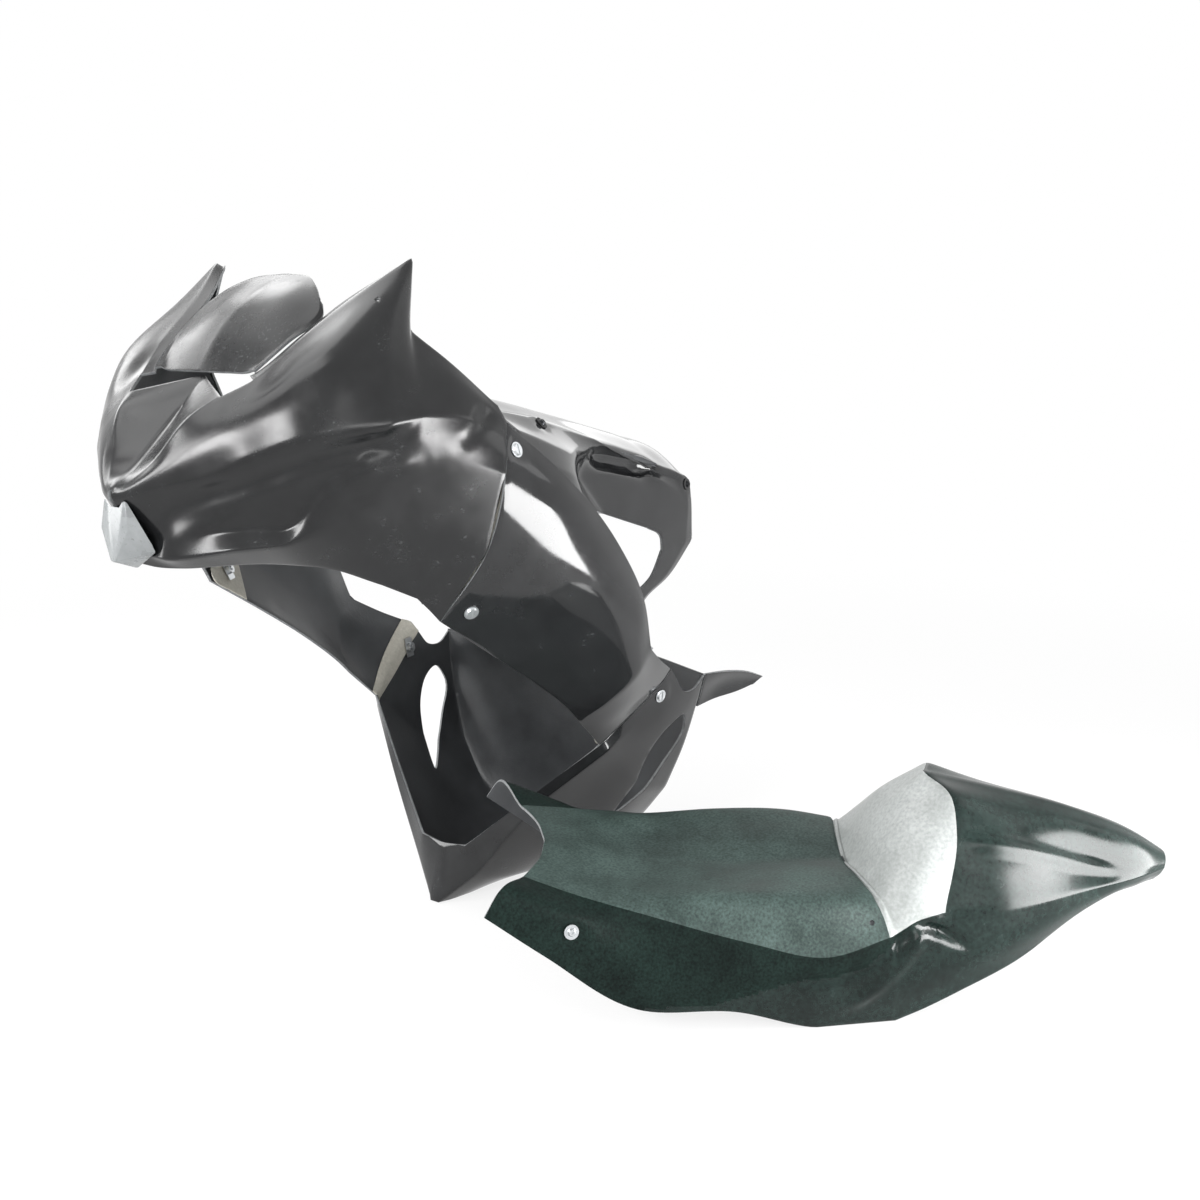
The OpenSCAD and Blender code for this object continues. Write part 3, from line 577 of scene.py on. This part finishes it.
# The bridge joins the halves over its four spans. Behind it there is no middle strip, and over the
# next span the opening under the screen also takes the first span of columns
bridge_spans = 4
row, from_middle, is_middle = cells_of(upper_half)
bridge = row < bridge_spans * steps
flange = ~is_middle & ((row >= (bridge_spans + 1) * steps) | (from_middle >= steps))
upper = moulding("nose_fairing", place_set(whole(upper_half)), laminate, laminate_look, keep=bridge | flange)
horn_hole_width = 5
horn_hole = facet_at(place_set(skin(upper_net, solid_steps, upper_sharp_rows, upper_sharp)), 15.2, 2.8)
cut(upper, [bore(point, normal, horn_hole_width) for point, normal in both_sides([horn_hole])], cut_edge)
finish_edges(upper, 0.7)
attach(upper, "root")
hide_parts("upper_fairing")


# Screen
# A blank in the same black laminate instead of a clear screen, bonded on the flange between the
# horns. Its sides are rolled outward and its top corners rounded.
screen_net = [
    [[116, 4, 706], [118, 40, 706], [121, 66, 707], [122, 73, 709], [119, 78, 708]],
    [[142, 4, 742], [146, 45, 741], [154, 80, 739], [157, 87, 739], [156, 91, 738]],
    [[186, 4, 780], [190, 48, 778], [194, 86, 769], [195, 95, 767], [196, 100, 765]],
    [[238, 4, 806], [230, 45, 802], [213, 74, 788], [206, 84, 780], [203, 91, 775]]
]
screen_steps = 16
screen_half = faired(skin(screen_net, screen_steps, [0, 0, 0, 0], [0, 0, 0, 1, 0]), 4)
screen = moulding("screen_blank", place_set(whole(screen_half)), laminate, dusty_look)
finish_edges(screen, 0.7)
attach(screen, "root")
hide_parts("windscreen")


# Chin
# A small faceted moulding bonded under the nose tip, with crisp edges between flat faces.
snout_corners = [[2, 16, 583], [0, 20, 555], [-4, 3, 524], [22, 3, 514], [22, 36, 534], [20, 26, 570]]
# How far its corners are rounded out, and the clearance of the nose that is cut out of it
snout_grow = 1.5
nose_clearance = 0.3


def both_ways(points):
    """Points to the right of the middle and the same to the left."""
    return [[x, side * y, z] for x, y, z in points for side in (-1, 1)]


def hull_of(name, points, grow):
    """The closed convex body round points in millimetres behind the nose tip, grown a little."""
    flat_within = 3
    points = place_set(np.array(points, float))
    middle = points.mean(axis=0)
    grown = points + grow * (points - middle) / np.linalg.norm(points - middle, axis=1, keepdims=True)
    work = bmesh.new()
    for p in grown:
        work.verts.new(Vector(p) / mm_per_m)
    hull = bmesh.ops.convex_hull(work, input=work.verts)
    bmesh.ops.delete(work, geom=[v for v in set(hull["geom_interior"] + hull["geom_unused"])
                                 if isinstance(v, bmesh.types.BMVert)], context="VERTS")
    bmesh.ops.dissolve_limit(work, angle_limit=math.radians(flat_within), verts=work.verts, edges=work.edges)
    bmesh.ops.recalc_face_normals(work, faces=work.faces)
    mesh = bpy.data.meshes.new(name)
    work.to_mesh(mesh)
    work.free()
    return stand(name, mesh)


snout = hull_of("faceted_chin", both_ways(snout_corners), snout_grow)
# Its pale grey tones are a painted highlight for the light on its flat facets.
snout.data.materials.append(chin_painted_highlight)
finish_edges(snout, 1.6, angle=12)
nose_body = hull_of("nose_tool", both_ways([point for rib in upper_net[:3] for point in rib]), nose_clearance)
subtract(snout, nose_body)
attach(snout, "root")
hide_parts("nose_snout")


# Side panels
# One laminate moulding each side, studded to the nose fairing in front and the belly pan below.
# The crown bulges over the engine and folds in along its lower rear edge.
side_rib_end = [[657, 232, 309], [650, 231, 303], [643, 230, 297], [634, 228, 290], [590, 215, 260],
    [546, 198, 228]]
side_net = [
    [[x + seam, y, z - seam / 2] for x, y, z in joint_rib[2:]],
    [[410, 255, 583], [405, 262, 566], [402, 266, 550], [396, 268, 528], [372, 252, 455], [340, 190, 389]],
    [[490, 266, 500], [484, 270, 485], [478, 273, 470], [470, 274, 452], [448, 250, 385], [427, 196, 331]],
    [[541, 268, 425], [536, 270, 415], [530, 271, 404], [522, 270, 388], [498, 240, 322], [484, 200, 286]],
    [[566, 262, 358], [560, 262, 352], [553, 262, 345], [544, 261, 335], [515, 234, 297], [500, 200, 270]],
    [[612, 247, 331], [604, 246, 325], [596, 245, 318], [586, 243, 309], [550, 225, 275], [523, 199, 249]],
    side_rib_end
]
side_sharp_rows, side_sharp = [0, 0, 0, 0, 1, 0, 0], [0, 0, 0, 0, 0, 0]
side_half = faired(skin(side_net, steps, side_sharp_rows, side_sharp), 4)
# The solids' facets that the studs bear on, three to a span of ribs and two to a span of columns,
# with the width that is left flat round a washer
stud_flat = 24
coarse = skin(side_net, solid_steps, side_sharp_rows, side_sharp, row_steps=3)
side_half = spot_faced(side_half, [facet_at(coarse, 0.4, 2.4), facet_at(coarse, 0.9, 9.4)], stud_flat)
right_half, left_half = place_set(side_half), place_set(mirrored(side_half))
for name, grid in (("side_panel_right", right_half), ("side_panel_left", left_half)):
    panel = moulding(name + "_moulding", grid, laminate, gloss_look)
    finish_edges(panel, 0.7)
    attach(panel, "root")
    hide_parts(name)


# Belly pan
# One laminate tray that closes the underside: a V-shaped front, walls with a teardrop vent each,
# a flat keel, and a bulkhead at the rear. It stands on the flat of its keel.

# The seam under the side panel steps back and down, and the keel's ribs dip a little below the floor
# and are cut flat at it
seam_back = 0.6 * seam
seam_down = 0.8 * seam
keel_dip = 0.8
belly_net = [
    [[x + seam_back, y, z - seam_down] for x, y, z in (side_rib_end[j] for j in (0, 3, 4, 5))]
    + [[506, 118, 155], [467, 38, 81], [465, 4, 78]],
    [[672, 231, 292], [646, 227, 272], [600, 214, 243], [553, 204, 218], [503, 122, 137],
        [473, 52, 44], [447, 7, 1]],
    [[690, 230, 272], [664, 226, 252], [622, 214, 228], [578, 200, 200], [535, 126, 116],
        [500, 56, 32], [480, 15, -keel_dip]],
    [[715, 230, 268], [700, 224, 235], [680, 210, 195], [650, 190, 140], [620, 140, 75],
        [590, 66, 16], [570, 16, -keel_dip]],
    [[742, 232, 284], [736, 222, 235], [730, 208, 180], [722, 186, 120], [712, 140, 62],
        [704, 66, 14], [700, 16, -keel_dip]],
    [[748, 120, 300], [744, 110, 235], [740, 100, 180], [736, 90, 120], [732, 70, 62],
        [730, 34, 16], [728, 9, 6]],
    [[750, 4, 310], [748, 4, 235], [744, 4, 180], [740, 4, 120], [736, 4, 62], [734, 4, 22], [732, 3, 10]]
]
belly_sharp_rows, belly_sharp = [0, 1, 0, 0, 1, 0, 0], [0, 0, 0, 1, 0, 1, 0]
belly_half = faired(skin(belly_net, steps, belly_sharp_rows, belly_sharp), 3)
coarse = skin(belly_net, solid_steps, belly_sharp_rows, belly_sharp)
belly_half = spot_faced(belly_half, [facet_at(coarse, 1.4, 2.1)], stud_flat)
# A groove pressed in each wall, from the foot of the vent down to the keel
wall_groove = [[641, 192, 100], [636, 180, 64], [629, 172, 46]]
belly_half = pressed(belly_half, wall_groove, width=14, depth=3)
belly_half[:, :, 2] = np.maximum(belly_half[:, :, 2], 0)
belly_grid = place_set(np.concatenate([belly_half, mirrored(belly_half)], axis=1))
belly = moulding("belly_tray", belly_grid, laminate, gloss_look, zipped=True)
# The vent's outline runs on over its first points, and the spans that double are left out
vent = [[702, 0, 236], [672, 0, 226], [646, 0, 196], [634, 0, 150], [627, 0, 104], [654, 0, 124],
    [688, 0, 168], [714, 0, 212]]
vent_steps = 6
vent_reach = 300
ring = spline(vent + vent[:3], vent_steps, [0] * (len(vent) + 3))[vent_steps:-(vent_steps + 1)]
cut(belly, [[[(x + nose_x, side * vent_reach, z) for x, _, z in ring] for side in (-1, 1)]], cut_edge)
finish_edges(belly, 0.7)
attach(belly, "root")
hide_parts("belly_pan")

flare_net = [
    [[742.6, 232, 284], [740, 228, 262], [737.6, 222.6, 238]],
    [[790, 236, 278], [788, 225, 258], [776, 224, 240]],
    [[845, 238, 266], [845, 230, 252], [835, 230, 240]],
    [[893, 236, 249], [886, 234, 246], [872, 234, 243]]
]
flare_steps = 8
flare_half = place_set(skin(flare_net, flare_steps, [0, 0, 0, 0], [0, 0, 0]))
for name, grid in (("belly_flare_right", flare_half), ("belly_flare_left", mirrored(flare_half))):
    flare = moulding(name + "_moulding", grid, laminate, gloss_look)
    finish_edges(flare, 0.6)
    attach(flare, "root")
    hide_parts(name)


# Tank cover
# The laminate cover over tank and air box: a flat deck, a recess with a shelf down each side, and
# a large round cut-out over an arm that reaches forward to the side panel.
cover_net = [
    [[340, 4, 682], [342, 110, 678], [350, 190, 662], [358, 222, 640], [368, 232, 612], [382, 236, 580]],
    [[450, 4, 668], [452, 100, 664], [462, 172, 642], [472, 205, 606], [480, 214, 575], [492, 216, 540]],
    [[600, 4, 640], [600, 90, 632], [601, 150, 607], [578, 154, 588], [548, 160, 566], [606, 158, 513]],
    [[742, 4, 606], [742, 90, 597], [742, 150, 562], [738, 142, 556], [734, 152, 549], [714, 156, 480]],
    [[842, 4, 572], [838, 90, 562], [822, 150, 530], [814, 152, 518], [802, 153, 505], [748, 155, 462]],
    [[862, 4, 480], [855, 90, 470], [839, 148, 448], [815, 152, 447], [785, 153, 447], [752, 154, 446]],
    [[800, 110, 420], [790, 130, 412], [780, 148, 405], [765, 152, 407], [748, 153, 409], [726, 154, 412]],
    [[735, 110, 390], [730, 130, 386], [721, 148, 381], [712, 152, 384], [702, 153, 388], [690, 154, 393]],
    [[640, 150, 352], [640, 170, 349], [640, 190, 345], [638, 192, 350], [636, 194, 357], [633, 196, 366]]
]
cover_sharp_rows, cover_sharp = [0, 0, 1, 1, 0, 1, 0, 0, 0], [0, 0, 1, 1, 1, 0]
cover_half = faired(skin(cover_net, steps, cover_sharp_rows, cover_sharp), 2)
# The recess under the deck's edge, over the shelf
recess = [[590, 153, 586], [640, 152, 580], [690, 150, 567], [736, 146, 553]]
cover_half = pressed(cover_half, recess, width=46, depth=15)
screw_flat = 20
coarse = skin(cover_net, solid_steps, cover_sharp_rows, cover_sharp)
cover_half = spot_faced(cover_half, [facet_at(coarse, 1.9, 4.3), facet_at(coarse, 7.9, 4.6)], screw_flat)
# The deck and its rear wall are whole. The arms below them are only the outer columns
deck_spans, arm_from = 5, 2
row, from_middle, is_middle = cells_of(cover_half)
arm = ~is_middle & (from_middle >= arm_from * steps)
cover = moulding("tank_cover_moulding", place_set(whole(cover_half)), laminate, gloss_look,
                 keep=(row < deck_spans * steps) | arm)
finish_edges(cover, 0.7)
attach(cover, "root")
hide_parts("tank_cover")


# Seat unit
# One laminate moulding: two wings in front, the flat seat deck, the hump that the rider's back
# rests on, and the tail. The deck's front is sanded for the foam pad to stick to.

# Its length, width and height over those of its net, then where its own zero stands in the frame and
# how it leans and turns there, in degrees
seat_size = np.array([791 / 942, 312 / 372, 250 / 298])
seat_place = [313 + nose_x, -196, 42.2]
seat_lean = (4.1, 5.1, -49.8)
seat_turn = Euler([math.radians(a) for a in seat_lean], "XYZ").to_matrix()
seat_net = [
    [[75, 4, 168], [66, 60, 168], [56, 86, 168], [45, 110, 167], [12, 176, 176], [-3, 186, 146]],
    [[130, 4, 158], [125, 70, 158], [120, 102, 158], [114, 134, 157], [92, 176, 150], [74, 186, 98]],
    [[215, 4, 148], [212, 76, 152], [210, 125, 157], [206, 157, 146], [206, 174, 88], [202, 172, 20]],
    [[330, 4, 150], [330, 84, 164], [332, 142, 167], [335, 172, 122], [331, 176, 78], [329, 170, 22]],
    [[430, 4, 160], [432, 84, 174], [434, 144, 171], [438, 174, 108], [440, 174, 60], [440, 162, 0]],
    [[490, 4, 166], [495, 70, 176], [506, 128, 170], [519, 162, 136], [530, 166, 78], [540, 152, 6]],
    [[496, 4, 160], [501, 69, 170], [512, 126, 168], [527, 158, 138], [538, 164, 80], [548, 151, 10]],
    [[536, 4, 246], [545, 63, 246], [554, 112, 215], [554, 151, 154], [574, 158, 92], [584, 146, 26]],
    [[582, 4, 302], [604, 58, 293], [608, 92, 251], [590, 140, 162], [612, 150, 110], [620, 140, 44]],
    [[685, 4, 285], [676, 46, 276], [675, 90, 240], [684, 132, 172], [692, 136, 128], [700, 122, 84]],
    [[800, 4, 262], [796, 36, 252], [798, 64, 206], [804, 88, 182], [808, 86, 164], [810, 78, 147]],
    [[905, 4, 226], [905, 26, 221], [903, 43, 201], [901, 48, 189], [897, 45, 179], [890, 40, 169]],
    [[942, 4, 206], [941, 12, 204], [939, 20, 198], [937, 24, 190], [934, 22, 180], [928, 18, 170]]
]
seat_sharp_rows, seat_sharp = [0, 0, 0, 0, 0, 1, 1, 0, 1, 0, 0, 0, 0], [0, 0, 0, 1, 0, 0]
seat_steps = 14
seat_half = faired(skin(seat_net, seat_steps, seat_sharp_rows, seat_sharp), 4)
# In each flank a fold runs back and up to the hump, a rib runs down from its foot, a channel runs
# back under the tail, and a crease goes on from there to the tip, below the shoulder of the tail
flank_fold = [[396, 172, 72], [446, 168, 77], [494, 162, 95], [525, 156, 124], [548, 150, 149]]
flank_rib = [[566, 146, 141], [537, 152, 98], [506, 156, 64], [472, 158, 36]]
tail_channel = [[551, 150, 151], [592, 146, 139], [630, 138, 117], [676, 122, 86]]
tail_crease = [[678, 122, 89], [740, 100, 114], [811, 70, 147], [870, 46, 170]]
tail_shoulder = [[610, 104, 252], [675, 90, 239], [765, 70, 216], [828, 55, 196], [900, 34, 172]]
seat_half = pressed(seat_half, flank_fold, width=30, depth=6)
seat_half = pressed(seat_half, flank_rib, width=40, depth=-9)
seat_half = pressed(seat_half, tail_channel, width=26, depth=10)
seat_half = pressed(seat_half, tail_crease, width=22, depth=4)
seat_half = pressed(seat_half, tail_shoulder, width=34, depth=-5)
# The deck ends at the fifth span of rows and the backrest at the eighth, and both are three spans of
# columns wide each side
deck_end = 5 * seat_steps
rest_end = 8 * seat_steps
deck_side = 3 * seat_steps
# The dark gap behind the pad, along the rear edge of the deck
deck_edge = seat_half[deck_end, 0:deck_side:seat_steps // 2]
pad_gap = np.concatenate([[deck_edge[0] * [1, -1, 1]], deck_edge])
seat_half = pressed(seat_half, pad_gap, width=11, depth=5)
# The finish of each cell, as a place in the list of the seat's materials. The flank is keyed above
# its fold as far back as the hump's foot
polished, keyed_deck, keyed_side_painted_shade, rest_painted_highlight = 0, 3, 4, 5
keyed_until = 556
rows, cols = np.indices((seat_half.shape[0] - 1, seat_half.shape[1] - 1))
at_cell = (seat_half[:-1, :-1] + seat_half[1:, 1:]) / 2
fold_x, _, fold_z = np.array([[0, 0, 0], [300, 0, 30]] + flank_fold).T
above_fold = at_cell[..., 2] > np.interp(at_cell[..., 0], fold_x, fold_z)
on_deck = (rows < deck_end) & (cols < deck_side)
# The flank's cells take the deck's keyed gelcoat painted darker: painted shade where the flank faces down.
on_side_painted_shade = (cols >= deck_side) & (at_cell[..., 0] < keyed_until) & above_fold
# The backrest's cells take a pale grey that is a painted highlight.
on_rest_painted_highlight = (rows >= deck_end) & (rows < rest_end) & (cols < deck_side)
half_slot = np.select([on_deck, on_side_painted_shade, on_rest_painted_highlight], [keyed_deck, keyed_side_painted_shade, rest_painted_highlight], polished)
seat_slots = np.concatenate([half_slot[:, ::-1], half_slot[:, :1], half_slot], axis=1)
seat_half = seat_half * seat_size
seat_coarse = skin(seat_net, solid_steps, seat_sharp_rows, seat_sharp) * seat_size
seat_half = spot_faced(seat_half, [facet_at(seat_coarse, 2.3, 8.4)], stud_flat)


def place_seat(points):
    """From the seat unit's own millimetres to its place in the frame."""
    return points @ np.array(seat_turn).T + seat_place


seat_grid = place_seat(whole(seat_half))
seat_grid[:, :, 2] = np.maximum(seat_grid[:, :, 2], 0)


# Dark gelcoat with a green cast. Where the pad goes it is keyed with coarse paper to a matt grain,
# and the hump and tail are left glossy with dull patches of dust. The grain of coarse paper is a few
# tenths of a millimetre, so it is drawn as coarse as it needs to show.
def green_gelcoat(name, low, high, rough_low, rough_high, grain_mm, depth, mirror):
    """The gelcoat between two tones and two roughnesses, with the size and depth of its grain and how
    strongly it mirrors."""
    dust_mm = 60
    finish, tree, place = new_tree(name)
    grain = add(tree, "ShaderNodeTexNoise",
                inputs={"Vector": place, "Scale": mm_per_m / grain_mm, "Detail": 3.0})
    dust = add(tree, "ShaderNodeTexNoise",
               inputs={"Vector": place, "Scale": mm_per_m / dust_mm, "Detail": 5.0, "Roughness": 0.6})
    grain_bump = add(tree, "ShaderNodeBump",
                     inputs={"Height": grain.outputs["Fac"], "Strength": depth, "Distance": 0.0004})
    mixed = add(tree, "ShaderNodeMath", {"operation": "MULTIPLY"},
                {0: grain.outputs["Fac"], 1: dust.outputs["Fac"]})
    spread = add(tree, "ShaderNodeMapRange",
                 inputs={"Value": mixed.outputs["Value"], "From Min": 0.12, "From Max": 0.40})
    tone = add(tree, "ShaderNodeMix", {"data_type": "RGBA"}, {"Factor": spread.outputs["Result"]})
    tone.inputs[6].default_value = linear(low)
    tone.inputs[7].default_value = linear(high)
    rough = add(tree, "ShaderNodeMapRange",
                inputs={"Value": dust.outputs["Fac"], "From Min": 0.3, "From Max": 0.7,
                        "To Min": rough_low, "To Max": rough_high})
    shader = add(tree, "ShaderNodeBsdfPrincipled",
                 inputs={"Base Color": tone.outputs[2], "Roughness": rough.outputs["Result"],
                         "Normal": grain_bump.outputs["Normal"], "IOR": 1.45,
                         "Specular IOR Level": mirror})
    add(tree, "ShaderNodeOutputMaterial", inputs={"Surface": shader.outputs["BSDF"]})
    return finish


# Polished on hump and tail and keyed on the deck. The flanks take the deck's keyed gelcoat painted darker, as
# painted shade where they face down, and the backrest is painted a pale grey, as a painted highlight.
seat_gloss = green_gelcoat("dark_green_gelcoat_polished", "#08110f", "#1a2724", 0.14, 0.30, 5, 0.06, 0.3)
deck_keyed = green_gelcoat("dark_green_gelcoat_keyed_deck", "#202c29", "#43534f", 0.50, 0.62, 3, 0.5, 0.35)
# The deck's keyed gelcoat with darker tones and less mirror: painted shade for the flanks.
side_finish_painted_shade = green_gelcoat("dark_green_gelcoat_keyed_side_painted_shade", "#060e0c", "#182723", 0.50, 0.62, 3, 0.5, 0.12)
# Painted highlight: a pale grey for the light that the backrest's face mirrors.
rest_finish_painted_highlight = green_gelcoat("gelcoat_backrest_painted_highlight", "#868a88", "#a3a6a5", 0.30, 0.42, 4, 0.12, 0.5)
seat_look = [seat_gloss, inner_face, cut_edge, deck_keyed, side_finish_painted_shade, rest_finish_painted_highlight]
seat = moulding("seat_unit_moulding", seat_grid, laminate, seat_look, face_slot=seat_slots)
# The pad's two holes are drawn blind, with a bottom of the dark inner laminate as painted shade for the dark
# seen through the real holes, so that the pale floor doesn't shine through them
pad_hole_width = 6
pad_hole_depth = 2.5
pad_spots = both_sides([facet_at(seat_coarse, 9.5, 5.1)])
pad_holes = [bore(place_seat(point), normal @ np.array(seat_turn).T, pad_hole_width, pad_hole_depth)
             for point, normal in pad_spots]
cut(seat, pad_holes, inner_face)
finish_edges(seat, 0.7)
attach(seat, "root")
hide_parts("seat_unit")


# Backing strips
# Raw glass-fibre strips bonded behind the joints, in yellowish resin with no gelcoat: the glass shows
# as a pale, uneven weave with a rough face.
strip_thickness = 1.2
strip_strand_mm = 5
raw_strip, tree, place = new_tree("raw_glass_fibre_strip")
strands = add(tree, "ShaderNodeTexNoise",
              inputs={"Vector": place, "Scale": mm_per_m / strip_strand_mm, "Detail": 6.0, "Roughness": 0.75})
strand_bump = add(tree, "ShaderNodeBump",
                  inputs={"Height": strands.outputs["Fac"], "Strength": 0.6, "Distance": 0.0005})
tone = add(tree, "ShaderNodeMix", {"data_type": "RGBA"}, {"Factor": strands.outputs["Fac"]})
tone.inputs[6].default_value = linear("#86837a")
tone.inputs[7].default_value = linear("#cfccc0")
shader = add(tree, "ShaderNodeBsdfPrincipled",
             inputs={"Base Color": tone.outputs[2], "Roughness": 0.5,
                     "Normal": strand_bump.outputs["Normal"], "IOR": 1.5})
add(tree, "ShaderNodeOutputMaterial", inputs={"Surface": shader.outputs["BSDF"]})

# Each strip lies against the inner faces with half a millimetre of resin between. It stands off a
# little more over the upper seam.
resin = 0.5
stand_off = 2.8
strip_under = laminate + resin
seam_under = strip_under + stand_off
upper_inside = upper_half - seam_under * normals_of(upper_half)
side_seam = side_half - seam_under * normals_of(side_half)
side_inside = side_half - strip_under * normals_of(side_half)
belly_inside = belly_half - strip_under * normals_of(belly_half)
# The upper strip starts half a span ahead of the nose fairing's last rib. Both strips reach two thirds
# or a third of a span onto the side panel, and the lower one nearly a span onto the belly pan.
third = steps // 3
upper_rows = np.array([upper_inside[int(10.5 * steps), 2 * steps:], side_seam[0],
                       side_inside[third], side_inside[2 * third]])
# The belly pan's first span of columns takes three of the side panel's
from_belly = np.arange(3 * steps + 1)
to_side = np.where(from_belly <= steps, 3 * from_belly, 2 * steps + from_belly)
belly_rows = np.array([side_inside[-1 - third, to_side], side_inside[-1, to_side],
                       belly_inside[0, from_belly], belly_inside[steps // 2, from_belly],
                       belly_inside[int(0.9 * steps), from_belly]])
strip_steps = 8
for name, rows in (("upper_joint_strip", upper_rows), ("belly_joint_strip", belly_rows)):
    half = spline(rows, strip_steps, [0] * len(rows))
    for side, grid in (("right", place_set(half)), ("left", place_set(mirrored(half)))):
        strip = moulding(f"{name}_{side}_fibre", grid, strip_thickness, [raw_strip, raw_strip, raw_strip])
        finish_edges(strip, 0.3)
        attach(strip, "root")
        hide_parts(f"{name}_{side}")


# Fasteners
# Quarter-turn studs with their washers and cups, straps, and button-head screws with washers and nuts.
# They are bought parts and stay as the solids have them, so only their finish is given here.
def fastener_finish(name, colour, metallic, mottle_mm, rough_low, rough_high):
    """A plain finish of one colour whose gloss is mottled between two roughnesses."""
    finish, tree, place = new_tree(name)
    mottle = add(tree, "ShaderNodeTexNoise",
                 inputs={"Vector": place, "Scale": mm_per_m / mottle_mm, "Detail": 3.0})
    rough = add(tree, "ShaderNodeMapRange",
                inputs={"Value": mottle.outputs["Fac"], "To Min": rough_low, "To Max": rough_high})
    shader = add(tree, "ShaderNodeBsdfPrincipled",
                 inputs={"Base Color": linear(colour), "Metallic": metallic,
                         "Roughness": rough.outputs["Result"]})
    add(tree, "ShaderNodeOutputMaterial", inputs={"Surface": shader.outputs["BSDF"]})
    return finish


# Steel plated with zinc, bright with a fine spangle, blacked steel with faint stains, and moulded rubber
# with a dull bloom. These are finer than a pixel, so they are drawn as coarse as they need to show.
zinc = fastener_finish("zinc_plated_steel", "#c9ccce", 1.0, 2, 0.22, 0.42)
blacked = fastener_finish("blacked_steel", "#2c2d2f", 1.0, 2, 0.3, 0.5)
rubber = fastener_finish("moulded_rubber", "#1b1b1c", 0.0, 3, 0.6, 0.8)
zinc_nodes = ("upper_joint_studs", "upper_joint_washers", "upper_joint_receptacles", "belly_joint_studs",
              "belly_joint_washers", "belly_joint_receptacles", "cover_nuts", "cover_strap_left",
              "cover_strap_right", "seat_screws", "seat_washers", "seat_nuts")
for finish, names in ((zinc, zinc_nodes), (blacked, ("cover_screws",)), (rubber, ("cover_washers",))):
    for name in names:
        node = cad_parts[name]
        node.data.materials.clear()
        node.data.materials.append(finish)
